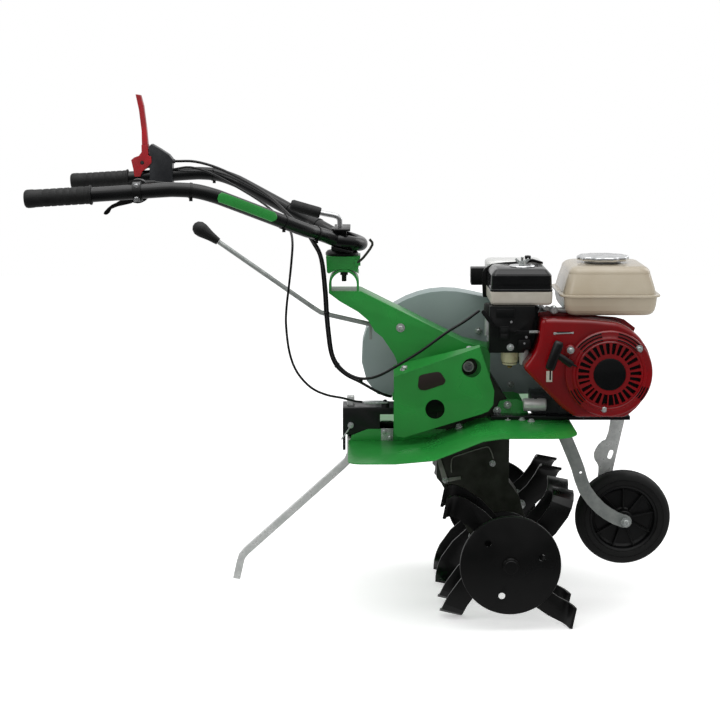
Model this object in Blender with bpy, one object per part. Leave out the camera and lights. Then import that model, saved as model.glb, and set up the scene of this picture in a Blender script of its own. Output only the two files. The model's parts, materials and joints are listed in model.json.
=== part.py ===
"""Garden tiller with a horizontal-shaft engine, two tine rotors, a front wheel and a drag stake.

All sizes are metres. While it is modelled, the tine axle is the origin: +X points ahead, towards the
front wheel, +Y to the operator's left and +Z up. The empty "machine" then sets it on the ground, Z = 0.
"""
import math

import bmesh
import bpy
from mathutils import Vector

# Clearances
GAP = 0.0003          # between faces that rest on each other
PLAY = 0.0005         # round a turning or sliding piece

MID_X = -0.2981       # halfway between the grips' ends and the front of the wheel

# Tine rotor
SHAFT_R = 0.0125
SHAFT_HALF = 0.2835
SHAFT_HEAD = 0.012
SHAFT_HEAD_R = 0.0175
HUB_R = 0.021
FLANGE_R = 0.072
FLANGE_THICK = 0.006
INNER_FLANGE_Y = 0.105
OUTER_FLANGE_Y = 0.205
HUB_INNER_END = 0.0475
TINES_A_SET = 4
INNER_TURNS = (0, 0)  # degrees that the right and left inner sets stand past the right outer one
OUTER_TURNS = (0, 0)    # the same for the outer sets
TINE_REACH = 0.176    # axle to the middle of a tine's end
TINE_ROOT = 0.030
TINE_WIDTH = 0.045
TINE_THICK = 0.006
TINE_SWEEP = math.radians(14)
TINE_BEND = math.radians(78)
TINE_BEND_R = 0.032
TINE_TAIL = 0.020
TINE_BOLT_R = 0.0085
TINE_BOLT_AT = (0.045, 0.064)
DISC_R = 0.1035
DISC_THICK = 0.003
DISC_Y = SHAFT_HALF - SHAFT_HEAD - DISC_THICK - PLAY
DISC_HOLE_R = 0.007
DISC_HOLES_AT = 0.066

# Chain case with its shafts
CASE_HALF = 0.040
CASE_WALL = 0.005
CASE_FOOT_R = 0.060
CASE_TOP_R = 0.034
CASE_REAR_X = -0.142
CASE_FRONT_X = 0.014
CASE_SHOULDER_Z = 0.300
CASE_WAIST_Z = 0.120
INPUT = Vector((-0.076, 0, 0.374))
INPUT_R = 0.010
MODULE = 0.01 / 3
PINION_TEETH = 9
GEAR_TEETH = 27
LAYSHAFT_ANGLE = math.radians(-101)
LAYSHAFT_R = 0.009
GEAR_Y = (-0.022, -0.010)
SPROCKET_Y = (0.013, 0.023)
SMALL_SPROCKET = (7, 0.0133)
LARGE_SPROCKET = (21, 0.040)
CHAIN_THICK = 0.006

# Engine
CRANK = Vector((0.209, 0, 0.376))
CRANK_R = 0.0125
ENGINE_SEAT_Z = 0.274
CRANKCASE_X = (0.125, 0.272)
CRANKCASE_TOP_Z = 0.455
ENGINE_NEAR_Y = -0.060
ENGINE_FAR_Y = 0.0947
FOOT_X = (0.115, 0.262)
FOOT_THICK = 0.014
CHAMBER_R = 0.056
CYLINDER_TILT = math.radians(25)
CYLINDER_FROM = 0.060
CYLINDER_LENGTH = 0.125
CYLINDER_HALF = 0.044
CYLINDER_Y = (-0.0445, 0.055)
FIN_HALF = 0.055
FINS = 6
SHROUD_OUTLINE = ((0.060, 0.489), (0.273, 0.462), (0.303, 0.377), (0.296, 0.340), (0.248, 0.281),
                  (0.143, 0.281), (0.115, 0.300), (0.078, 0.337), (0.032, 0.384))
SHROUD_FACE_Y = -0.137
SHROUD_EDGE = 0.010
SHROUD_WALL = 0.003
RECOIL_R = 0.0905
RECOIL_DEPTH = 0.0215
RECOIL_WALL = 0.0025
PULL_MIDDLE = Vector((0.093, -0.166, 0.418))
PULL_END = Vector((0.1275, -0.166, 0.3985))
FLYWHEEL_R = 0.076
FLYWHEEL_Y = (-0.088, -0.076)
VANES = 8
CARB_X0 = -0.037
CARB_Z = (0.414, 0.5117)
CARB_FACE_Y = -0.110
CARB_SLOPE = ((0.057, 0.491), (0.036, 0.414))
BOWL_AT = Vector((0.010, -0.062, 0))
BOWL_R = 0.017
BOWL_Z = (0.386, 0.416)
CHOKE_AT = Vector((0.018, CARB_FACE_Y, 0.457))
CHOKE_LENGTH = 0.026
THROTTLE_ARM_AT = Vector((-0.029, CARB_FACE_Y, 0.472))
THROTTLE_ARM_TIP = Vector((-0.050, CARB_FACE_Y, 0.500))
CLEANER_X = (-0.035, 0.095)
CLEANER_Y = (-0.100, 0.032)
CLEANER_CASE_H = 0.0285
CLEANER_COVER_H = 0.046
WING_NUT_AT = (0.036, -0.034)
MUFFLER_X = (-0.032, 0.086)
MUFFLER_Y = (0.0355, 0.118)
MUFFLER_Z = (0.518, 0.590)
ELBOW_X = (0.020, 0.050)
OUTLET_X = -0.066
OUTLET_Y = (0.050, 0.086)
OUTLET_Z = (0.537, 0.574)
OUTLET_WALL = 0.003
TANK_X = (0.119, 0.314)
TANK_Y = (-0.105, 0.105)
TANK_Z = (0.490, 0.592)
TANK_SEAM_Z = 0.532
TANK_SEAM = 0.008
TANK_WALL = 0.003
TANK_CORNER = 0.030
FILLER_AT = Vector((0.211, 0, 0))
FILLER_R = 0.038
CAP_R = 0.055
CAP_HEIGHT = 0.011
NECK_TOP_Z = 0.5967

# Belt drive
BELT_Y = 0.130
BELT_HALF_WIDTH = 0.0045
BELT_THICK = 0.008
PULLEY_HALF_WIDTH = 0.0085
GROOVE = 0.010
DRIVE_PULLEY_R = 0.030
DRIVEN_PULLEY_R = 0.085
IDLER_R = 0.022
IDLER_PIVOT = Vector((0.110, 0.0, 0.400))
IDLER_AT = Vector((0.063, 0.0, 0.357))
IDLER_PIN_R = 0.005
IDLER_ARM_Y = (0.1165, 0.1205)
GUARD_Y = (0.095, 0.165)
GUARD_WALL = 0.0025
GUARD_NOSE_R = 0.074

# Frame
FENDER_OUTER_Y = 0.270
FENDER_THICK = 0.002
FENDER_REAR = (-0.332, 0.213)
FENDER_FOLDS = ((-0.236, 0.213), (-0.158, 0.220), (-0.058, 0.260), (-0.020, 0.2655))
FENDER_FRONT = (0.137, 0.2655)
FENDER_CORNER = 0.055
LUG_X = (-0.023, 0.058)
LUG_TOP_Z = 0.303
PLATE_X = (-0.030, 0.265)
PLATE_HALF_Y = 0.085
PLATE_SLOT_X = 0.0625
COLUMN_HALF = 0.0435
COLUMN_SHEET = 0.003
HEAD_SEAT_Z = 0.535
HEAD_X = -0.3455
TILT = Vector((-0.341, 0, 0.549))
ARCH_R = 0.032
ARCH_THICK = 0.005
ARCH_HALF = 0.036
CUP_TOP_Z = 0.608
CUP_HALF = 0.037
COVER_FACE_Y = -0.0985
COVER_SHEET = 0.002
COVER_HOLE_R = 0.0205
COVER_LOWER_HOLE = (-0.149, 0.292)
HITCH_X = (-0.344, -0.306)
HITCH_Z = (0.225, 0.283)
HITCH_PLATE = 0.004
HITCH_HALF = 0.040
HITCH_TAIL_Z = 0.191
HITCH_WINDOW_X = (-0.264, -0.190)
STAKE_X = -0.327
STAKE_SIDE = 0.016
STAKE_TOP_Z = 0.303
STAKE_ROUTE = ((-0.327, 0.176), (-0.334, 0.160), (-0.347, 0.147), (-0.556, -0.043), (-0.566, -0.055),
               (-0.570, -0.069), (-0.578, -0.105))
STAKE_TRAVEL = 0.030
PIN_R = 0.004
PIN_Z = 0.246
ARM_PIVOT = Vector((-0.253, -0.028, 0.283))
ARM_LENGTH = 0.038
ARM_HALF = 0.0105

# Front wheel
WHEEL_PIVOT = Vector((0.122, 0, 0.243))
WHEEL_AT = Vector((0.2665, 0, 0.034))
WHEEL_R = 0.103
WHEEL_HALF = 0.0235
RIM_R = 0.073
WHEEL_HUB_R = 0.018
WHEEL_RIBS = 6
AXLE_R = 0.006
ARM_ROUTE = ((0.131, 0.225), (0.148, 0.186), (0.162, 0.151), (0.178, 0.104), (0.212, 0.063), (0.246, 0.041))
ARM_WIDTH = 0.028
ARM_THICK = 0.006
ARM_Y = -0.0390
LUG_HALF_X = 0.018
STRUT_Y = (0.0305, 0.0355)
STRUT_OUTLINE = ((0.241, 0.262), (0.273, 0.262), (0.270, 0.238), (0.250, 0.140), (0.244, 0.106),
                 (0.214, 0.094), (0.197, 0.100), (0.215, 0.114), (0.216, 0.139), (0.208, 0.153),
                 (0.206, 0.168), (0.216, 0.188), (0.231, 0.199), (0.240, 0.238))
STRUT_SLOT = ((0.236, 0.157), (0.248, 0.174))

# Handlebar
TUBE_R = 0.0145
TUBE_WALL = 0.002
BAR_HALF_Y = 0.280
BEND_R = 0.055
BEND_X = -0.360
BEND_Z = 0.646
FRONT_DROP = 0.014
BAR_LEG = ((-0.962, 1.0, 0.747), (-0.833, 1.0, 0.755), (-0.700, 1.0, 0.764), (-0.665, 0.997, 0.765),
           (-0.630, 0.977, 0.762), (-0.595, 0.930, 0.752), (-0.560, 0.850, 0.737), (-0.431, 0.465, 0.677),
           (-0.405, 0.360, 0.666), (-0.382, 0.260, 0.656))
GRIP_R = 0.0175
GRIP_FLANGE_R = 0.0195
GRIP_LENGTH = 0.130
GRIP_END = 0.003
CLAMP_ROD_R = 0.0055
CLAMP_SLEEVE_R = 0.0115
CLAMP_SLEEVE_LENGTH = 0.065
THROTTLE_AT = Vector((-0.746, -0.250, 0.761))
DRUM_R = 0.024
DRUM_HALF = 0.012
THROTTLE_TIP = (-0.073, -0.047)
THROTTLE_BLADE = 0.009
CLUTCH_AT = Vector((-0.800, 0.280, 0.790))
CLUTCH_LENGTH = 0.153
CLUTCH_HALF = 0.0175
CHEEK_Y = (0.0178, 0.0195)
CLUTCH_HOUSING_X = (-0.784, -0.732)
GEAR_ROD_R = 0.005
GEAR_ROD_Y = -0.020
GEAR_ROD_END = Vector((-0.235, GEAR_ROD_Y, 0.450))
GEAR_ROD_ROUTE = ((-0.283, 0.461), (-0.372, 0.4815), (-0.391, 0.487), (-0.408, 0.498), (-0.607, 0.638))
KNOB_R = 0.0155
KNOB_LENGTH = 0.063
CABLE_R = 0.003
THIN_CABLE_R = 0.0025


def along(points, steps):
    """Points of a smooth curve through the given ones."""
    points = [Vector(p) for p in points]
    padded = [2 * points[0] - points[1]] + points + [2 * points[-1] - points[-2]]
    curve = []
    for a, b, c, d in zip(padded, padded[1:], padded[2:], padded[3:]):
        for k in range(steps):
            t = k / steps
            curve.append(0.5 * (2 * b + (c - a) * t + (2 * a - 5 * b + 4 * c - d) * t ** 2
                                + (3 * b - a - 3 * c + d) * t ** 3))
    return curve + [points[-1]]


def arc(x, z, radius, start, end, steps):
    """Points (x, z) on an arc, angles in degrees from +X towards +Z."""
    turn = [math.radians(start + (end - start) * k / steps) for k in range(steps + 1)]
    return [(x + radius * math.cos(a), z + radius * math.sin(a)) for a in turn]


def wrapped(a, radius_a, b, radius_b, steps=10):
    """Outline (x, z) of a loop round two circles, its flats clear of both."""
    middle = math.degrees(math.atan2(b.z - a.z, b.x - a.x))
    spread = math.degrees(math.acos((radius_a - radius_b) / (b - a).length))
    clear_b = radius_b / math.cos(math.radians(spread / steps))
    clear_a = radius_a / math.cos(math.radians((180 - spread) / steps))
    return (arc(b.x, b.z, clear_b, middle - spread, middle + spread, steps)
            + arc(a.x, a.z, clear_a, middle + spread, middle - spread + 360, steps))


def inset(outline, distance):
    """The outline moved inwards; it runs anticlockwise seen with +X right and +Z up."""
    area = sum(a[0] * b[1] - b[0] * a[1] for a, b in zip(outline, outline[1:] + outline[:1]))
    side = 1 if area > 0 else -1
    moved = []
    for k, point in enumerate(outline):
        before = Vector(point) - Vector(outline[k - 1])
        after = Vector(outline[(k + 1) % len(outline)]) - Vector(point)
        before.normalize()
        after.normalize()
        normal = Vector((-before.y - after.y, before.x + after.x)).normalized()
        stretch = max(0.5, normal.dot(Vector((-before.y, before.x))))
        moved.append(tuple(Vector(point) + side * normal * distance / stretch))
    return moved


def band(route, width, round_steps=6):
    """Outline (x, z) of a flat bar of one width with round ends, along a route."""
    route = [Vector(p) for p in route]
    half = width / 2
    left, right = [], []
    for k, point in enumerate(route):
        heading = (route[min(k + 1, len(route) - 1)] - route[max(k - 1, 0)]).normalized()
        normal = Vector((-heading.y, heading.x)) * half
        left.append(tuple(point + normal))
        right.append(tuple(point - normal))
    first = math.degrees(math.atan2(*reversed(route[1] - route[0])))
    last = math.degrees(math.atan2(*reversed(route[-1] - route[-2])))
    start = arc(*route[0], half, first + 90, first + 270, round_steps)[1:-1]
    end = arc(*route[-1], half, last - 90, last + 90, round_steps)[1:-1]
    return left[::-1] + start + right + end


def teeth(at, count, root, tip, phase, tip_share=0.26, foot_share=0.50):
    """Outline (x, z) of a toothed wheel; one tooth points along phase, in radians."""
    outline = []
    pitch = 2 * math.pi / count
    for k in range(count):
        middle = phase + k * pitch
        for share, radius in ((-foot_share, root), (-tip_share, tip), (tip_share, tip), (foot_share, root)):
            angle = middle + share * pitch / 2
            outline.append((at.x + radius * math.cos(angle), at.z + radius * math.sin(angle)))
    return outline


def loft(sections, closed=False):
    """A closed body through sections of equal point counts; the ends are capped unless it closes."""
    bm = bmesh.new()
    rings = [[bm.verts.new(p) for p in section] for section in sections]
    pairs = list(zip(rings, rings[1:]))
    if closed:
        pairs.append((rings[-1], rings[0]))
    else:
        bm.faces.new(rings[0])
        bm.faces.new(rings[-1])
    for a, b in pairs:
        for k in range(len(a)):
            bm.faces.new((a[k - 1], a[k], b[k], b[k - 1]))
    bmesh.ops.recalc_face_normals(bm, faces=bm.faces)
    return bm


def slab(outline, y0, y1):
    """An outline (x, z) extruded across the machine."""
    return loft([[(x, y, z) for x, z in outline] for y in (y0, y1)])


def tray(outline, z0, z1):
    """A plan outline (x, y) extruded upwards."""
    return loft([[(x, y, z) for x, y in outline] for z in (z0, z1)])


def box(x, y, z):
    """A box from three (low, high) pairs."""
    return slab([(x[0], z[0]), (x[1], z[0]), (x[1], z[1]), (x[0], z[1])], *y)


def ring(outer, inner, y0, y1):
    """A loop with an open middle, from two outlines (x, z) of equal counts."""
    pairs = ((outer, y0), (outer, y1), (inner, y1), (inner, y0))
    return loft([[(x, y, z) for x, z in line] for line, y in pairs], closed=True)


def turned(profile, at, axis="Y", steps=24, closed=False):
    """A turned body: profile (radius, place along the axis), from axis to axis unless it closes."""
    bm = bmesh.new()
    spin_axis = Vector((0, 1, 0)) if axis == "Y" else Vector((0, 0, 1))
    arm = Vector((1, 0, 0))
    verts = [bm.verts.new(Vector(at) + arm * r + spin_axis * t) for r, t in profile]
    edges = [bm.edges.new(pair) for pair in zip(verts, verts[1:])]
    if closed:
        edges.append(bm.edges.new((verts[-1], verts[0])))
    bmesh.ops.spin(bm, geom=verts + edges, cent=at, axis=spin_axis, angle=2 * math.pi, steps=steps,
                   use_merge=True)
    bmesh.ops.remove_doubles(bm, verts=bm.verts, dist=1e-6)
    bmesh.ops.recalc_face_normals(bm, faces=bm.faces)
    return bm


def cylinder(at, radius, low, high, axis="Y", steps=24):
    return turned(((0, low), (radius, low), (radius, high), (0, high)), at, axis, steps)


def sleeve(at, outer, inner, low, high, axis="Y", steps=24):
    return turned(((outer, low), (outer, high), (inner, high), (inner, low)), at, axis, steps, closed=True)


def bore(at, radius, low, high, axis="Y", steps=24):
    """A cutter whose flats clear a shaft of this radius."""
    return cylinder(at, (radius + PLAY) / math.cos(math.pi / steps), low, high, axis, steps)


def rod(route, radius, steps=10, bore_r=0.0, square=False):
    """A round or square bar along a route, with an open bore where one is given."""
    route = [Vector(p) for p in route]
    heading = (route[1] - route[0]).normalized()
    across = Vector((0, 1, 0)) if abs(heading.y) < 0.9 else Vector((1, 0, 0))
    if square:
        steps = 4
    sections = []
    for k, point in enumerate(route):
        heading = (route[min(k + 1, len(route) - 1)] - route[max(k - 1, 0)]).normalized()
        across = (across - heading * across.dot(heading)).normalized()
        up = heading.cross(across)
        turn = [2 * math.pi * (j + 0.5 * square) / steps for j in range(steps)]
        sections.append([(point, across * math.cos(a) + up * math.sin(a)) for a in turn])
    outer = [[p + d * radius for p, d in section] for section in sections]
    if not bore_r:
        return loft(outer)
    inner = [[p + d * bore_r for p, d in section] for section in sections]
    return loft(outer + inner[::-1], closed=True)


def shifted(point, x=0.0, y=0.0, z=0.0):
    return Vector(point) + Vector((x, y, z))


def finish_colour(name, colour, roughness, metallic=0.0):
    material = bpy.data.materials.new(name)
    material.use_nodes = True
    shader = material.node_tree.nodes["Principled BSDF"]
    shader.inputs["Base Color"].default_value = (*colour, 1)
    shader.inputs["Roughness"].default_value = roughness
    shader.inputs["Metallic"].default_value = metallic
    return material


def mesh_object(name, shells):
    """One mesh object from one or more bodies, which stay where they were modelled."""
    mesh = bpy.data.meshes.new(name)
    whole = bmesh.new()
    for shell in shells:
        part = bpy.data.meshes.new(name + "_shell")
        shell.to_mesh(part)
        shell.free()
        whole.from_mesh(part)
        bpy.data.meshes.remove(part)
    whole.to_mesh(mesh)
    whole.free()
    found = bpy.data.objects.new(name, mesh)
    bpy.context.scene.collection.objects.link(found)
    return found


def hold(found, parent, pivot):
    """Sets an object's origin on its pivot and hangs it on its parent."""
    for vertex in found.data.vertices:
        vertex.co -= Vector(pivot)
    found.parent = parent
    found.location = Vector(pivot) - Vector(parent["pivot"])
    found["pivot"] = tuple(pivot)


def joint(name, pivot, parent):
    """An empty on a joint's axis, which carries the pieces that move with it."""
    empty = bpy.data.objects.new(name, None)
    bpy.context.scene.collection.objects.link(empty)
    empty.parent = parent
    empty.location = Vector(pivot) - Vector(parent["pivot"])
    empty["pivot"] = tuple(pivot)
    return empty


def combine(found, operation, shells, parent, pivot):
    """Joins bodies to a piece or cuts them out of it, with a hidden operand."""
    operand = mesh_object(found.name + "_" + operation.lower(), shells)
    hold(operand, parent, pivot)
    operand.hide_render = True
    operand.display_type = "WIRE"
    modifier = found.modifiers.new(operation.title(), "BOOLEAN")
    modifier.operation = operation
    modifier.solver = "EXACT"
    modifier.use_self = len(shells) > 1
    modifier.object = operand


def piece(name, finish, shells, parent, cuts=(), pivot=None, angle=35):
    """One sub-part: bodies fused into one solid, with cuts taken out."""
    pivot = Vector(parent["pivot"]) if pivot is None else Vector(pivot)
    found = mesh_object(name, shells[:1])
    found.data.materials.append(finish)
    found.data.shade_smooth()
    found.data.set_sharp_from_angle(angle=math.radians(angle))
    hold(found, parent, pivot)
    if len(shells) > 1:
        combine(found, "UNION", shells[1:], parent, pivot)
    if cuts:
        combine(found, "DIFFERENCE", cuts, parent, pivot)
    return found


def layshaft():
    length = MODULE * (PINION_TEETH + GEAR_TEETH) / 2
    return INPUT + length * Vector((math.cos(LAYSHAFT_ANGLE), 0, math.sin(LAYSHAFT_ANGLE)))


def tine(base_angle, side, face_y):
    """One tine: a flat blade swept back in its plane, its end bent sideways."""
    straight = TINE_REACH - TINE_ROOT - TINE_BEND_R * math.sin(TINE_BEND) - TINE_TAIL * math.cos(TINE_BEND)
    flat_steps, bend_steps = 3, 3
    stations = [(TINE_ROOT + straight * k / flat_steps, 0.0, 0.0) for k in range(flat_steps + 1)]
    for k in range(1, bend_steps + 1):
        turn = TINE_BEND * k / bend_steps
        radius = TINE_ROOT + straight + TINE_BEND_R * math.sin(turn)
        stations.append((radius, TINE_BEND_R * (1 - math.cos(turn)), turn))
    radius, aside, turn = stations[-1]
    stations.append((radius + TINE_TAIL * math.cos(turn), aside + TINE_TAIL * math.sin(turn), turn))
    sections = []
    for radius, aside, turn in stations:
        share = (radius - TINE_ROOT) / (TINE_REACH - TINE_ROOT)
        angle = base_angle + TINE_SWEEP * share ** 2
        lean = math.atan(2 * TINE_SWEEP * share * radius / (TINE_REACH - TINE_ROOT))
        out = Vector((math.cos(angle + lean), 0, math.sin(angle + lean)))
        wide = Vector((-out.z, 0, out.x)) * TINE_WIDTH / 2
        thick = (Vector((0, side, 0)) * math.cos(turn) - out * math.sin(turn)) * TINE_THICK / 2
        middle = Vector((radius * math.cos(angle), face_y + side * aside, radius * math.sin(angle)))
        sections.append([middle + wide + thick, middle - wide + thick, middle - wide - thick,
                         middle + wide - thick])
    return sections


def tine_phase():
    """The turn at which the right outer set stands on two tines, and the height of the axle over all sets."""
    points = [corner for section in tine(0.0, 1, 0.0) for corner in section]

    def depth(turn):
        lowest = 0.0
        for k in range(TINES_A_SET):
            angle = turn + 2 * math.pi * k / TINES_A_SET
            lowest = max([lowest] + [-(p.x * math.sin(angle) + p.z * math.cos(angle)) for p in points])
        return lowest

    step = 2 * math.pi / TINES_A_SET
    low, best = min((depth(-step * k / 400), -step * k / 400) for k in range(400))
    for fine in (step / 400, step / 8000, step / 160000):
        low, best = min((depth(best + fine * k / 20), best + fine * k / 20) for k in range(-20, 21))
    return best, max(depth(best + math.radians(turn)) for turn in INNER_TURNS + OUTER_TURNS)


def tine_set(name, finish, side, flange_y, hub, phase, parent):
    """A flange on its hub tube with its tines, bent to either side in turn, and their bolts."""
    centre = Vector((0, 0, 0))
    y = side * flange_y
    low, high = sorted((side * hub[0], side * hub[1]))
    shells = [cylinder(centre, HUB_R, low, high, steps=16)]
    shells.append(cylinder(centre, FLANGE_R, y - FLANGE_THICK / 2, y + FLANGE_THICK / 2))
    for k in range(TINES_A_SET):
        angle = phase + 2 * math.pi * k / TINES_A_SET
        way = -side if k % 2 else side
        face = y + way * (FLANGE_THICK + TINE_THICK) / 2 - way * 0.001
        shells.append(loft(tine(angle, way, face)))
        for radius in TINE_BOLT_AT:
            at = Vector((radius * math.cos(angle), face, radius * math.sin(angle)))
            top = way * (TINE_THICK / 2 + 0.007)
            shells.append(cylinder(at, TINE_BOLT_R, *sorted((0.0, top)), steps=6))
    cut = bore(centre, SHAFT_R, low - 0.01, high + 0.01, steps=16)
    return piece(name, finish, shells, parent, [cut])


def build_rotor(machine, finishes, phase):
    centre = Vector((0, 0, 0))
    rotor = joint("joint_rotor_spin", centre, machine)
    count, radius = LARGE_SPROCKET
    shaft = cylinder(centre, SHAFT_R, -SHAFT_HALF, SHAFT_HALF)
    sprocket = slab(teeth(centre, count, radius - 0.004, radius, math.pi / 2), *SPROCKET_Y)
    spans = [sorted((side * (SHAFT_HALF - SHAFT_HEAD), side * SHAFT_HALF)) for side in (-1, 1)]
    heads = [cylinder(centre, SHAFT_HEAD_R, *span, steps=6) for span in spans]
    piece("rotor_shaft", finishes["steel"], [shaft, sprocket] + heads, rotor)
    inner_end = OUTER_FLANGE_Y - (OUTER_FLANGE_Y - INNER_FLANGE_Y) / 2 - GAP
    disc_boss_y = DISC_Y - 0.0125
    inner_hub = (HUB_INNER_END, inner_end)
    outer_hub = (inner_end + 2 * GAP, disc_boss_y - GAP)
    black = finishes["black"]
    for k, (side, word) in enumerate(((-1, "right"), (1, "left"))):
        inner_phase = phase + math.radians(INNER_TURNS[k])
        outer_phase = phase + math.radians(OUTER_TURNS[k])
        tine_set(word + "_inner_tines", black, side, INNER_FLANGE_Y, inner_hub, inner_phase, rotor)
        tine_set(word + "_outer_tines", black, side, OUTER_FLANGE_Y, outer_hub, outer_phase, rotor)
        face, back, rim = DISC_Y + DISC_THICK, DISC_Y, DISC_Y - 0.006
        profile = [(SHAFT_R + PLAY, disc_boss_y), (0.018, disc_boss_y), (0.018, back), (DISC_R - 0.005, back),
                   (DISC_R - 0.004, rim), (DISC_R, rim), (DISC_R, face - 0.002), (DISC_R - 0.003, face),
                   (SHAFT_R + PLAY, face)]
        disc = turned([(r, side * t) for r, t in profile], centre, steps=28, closed=True)
        through = sorted((side * (back - 0.01), side * (face + 0.01)))
        holes = [bore(Vector((x, 0, z)), DISC_HOLE_R, *through, steps=10)
                 for x, z in arc(0, 0, DISC_HOLES_AT, 15, 255, 2)]
        piece(word + "_side_disc", black, [disc], rotor, holes)
    return rotor


def case_outline():
    """Outline of the chain case: round foot, straight sides, round top."""
    top_x, top_z = INPUT.x, INPUT.z
    outline = arc(0, 0, CASE_FOOT_R, 195, 370, 12)
    outline += [(CASE_FRONT_X + 0.022, CASE_WAIST_Z * 0.75), (CASE_FRONT_X, CASE_WAIST_Z)]
    outline += [(CASE_FRONT_X, CASE_SHOULDER_Z - 0.012)]
    outline += arc(top_x, top_z, CASE_TOP_R, 10, 150, 8)
    outline += [(CASE_REAR_X + 0.014, CASE_SHOULDER_Z + 0.062), (CASE_REAR_X, CASE_SHOULDER_Z + 0.035)]
    outline += [(CASE_REAR_X, CASE_WAIST_Z + 0.010), (CASE_REAR_X + 0.010, CASE_WAIST_Z - 0.002)]
    return outline


def build_case(machine, finishes):
    outline = case_outline()
    lay = layshaft()
    for side, word in ((-1, "right"), (1, "left")):
        wall_y = side * (CASE_HALF - CASE_WALL)
        half = slab(outline, *sorted((side * GAP / 2, side * CASE_HALF)))
        boss = sleeve(INPUT, INPUT_R + 0.0075, INPUT_R + PLAY, *sorted((side * CASE_HALF, side * 0.0425)))
        cuts = [slab(inset(outline, CASE_WALL), *sorted((-side * 0.01, wall_y)))]
        cuts += [bore(INPUT, INPUT_R, *sorted((0.0, side * 0.06)))]
        cuts += [bore(Vector((0, 0, 0)), SHAFT_R, *sorted((0.0, side * 0.06)))]
        cuts += [bore(lay, LAYSHAFT_R, *sorted((wall_y - side * 0.002, wall_y + side * 0.0035)))]
        piece("chain_case_" + word, finishes["casting"], [half, boss], machine, cuts)


def build_drive(machine, finishes):
    """Input shaft, layshaft and the chain that turns the tine shaft."""
    lay = layshaft()
    toward = math.atan2(lay.z - INPUT.z, lay.x - INPUT.x)
    pitch_a, pitch_b = MODULE * PINION_TEETH / 2, MODULE * GEAR_TEETH / 2
    drive = joint("joint_input_spin", INPUT, machine)
    shaft = cylinder(INPUT, INPUT_R, -CASE_HALF - 0.006, BELT_Y + 0.012)
    pinion = slab(teeth(INPUT, PINION_TEETH, pitch_a - 0.0028, pitch_a + 0.0022, toward),
                  GEAR_Y[0] - 0.001, GEAR_Y[1] + 0.001)
    piece("input_shaft", finishes["steel"], [shaft, pinion], drive)
    build_pulley("driven_pulley", finishes["casting"], INPUT, DRIVEN_PULLEY_R, INPUT_R, drive, 28)
    second = joint("joint_layshaft_spin", lay, machine)
    reach = CASE_HALF - CASE_WALL + 0.003
    body = cylinder(lay, LAYSHAFT_R, -reach, reach)
    gear_phase = toward + math.pi + math.pi / GEAR_TEETH
    gear = slab(teeth(lay, GEAR_TEETH, pitch_b - 0.0028, pitch_b + 0.0022, gear_phase), *GEAR_Y)
    count, radius = SMALL_SPROCKET
    sprocket = slab(teeth(lay, count, radius - 0.004, radius, 0.0), *SPROCKET_Y)
    piece("layshaft", finishes["steel"], [body, gear, sprocket], second)
    foot = Vector((0, 0, 0))
    inner = wrapped(lay, radius + GAP, foot, LARGE_SPROCKET[1] + GAP)
    outer = wrapped(lay, radius + CHAIN_THICK, foot, LARGE_SPROCKET[1] + CHAIN_THICK)
    piece("final_chain", finishes["steel"], [ring(outer, inner, *SPROCKET_Y)], machine)


def build_pulley(name, finish, at, radius, shaft_r, parent, steps):
    """A pulley with a groove for the belt."""
    low, high = BELT_Y - PULLEY_HALF_WIDTH, BELT_Y + PULLEY_HALF_WIDTH
    inner = BELT_HALF_WIDTH + 0.001
    profile = [(shaft_r + PLAY, low), (radius, low), (radius, BELT_Y - inner - 0.001),
               (radius - GROOVE, BELT_Y - inner), (radius - GROOVE, BELT_Y + inner),
               (radius, BELT_Y + inner + 0.001), (radius, high), (shaft_r + PLAY, high)]
    piece(name, finish, [turned(profile, at, steps=steps, closed=True)], parent)


def guard_outline():
    """Outline of the belt guard: a wide round back end and a nose round the engine's pulley."""
    top = arc(-0.118, 0.307, 0.212, 122, 76, 6)
    nose = arc(CRANK.x, CRANK.z, GUARD_NOSE_R, 75, -90, 8)
    return top + nose + [(0.100, 0.290), (-0.240, 0.283), (-0.268, 0.288), (-0.292, 0.318), (-0.303, 0.360),
                         (-0.301, 0.405), (-0.292, 0.436)]


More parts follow.
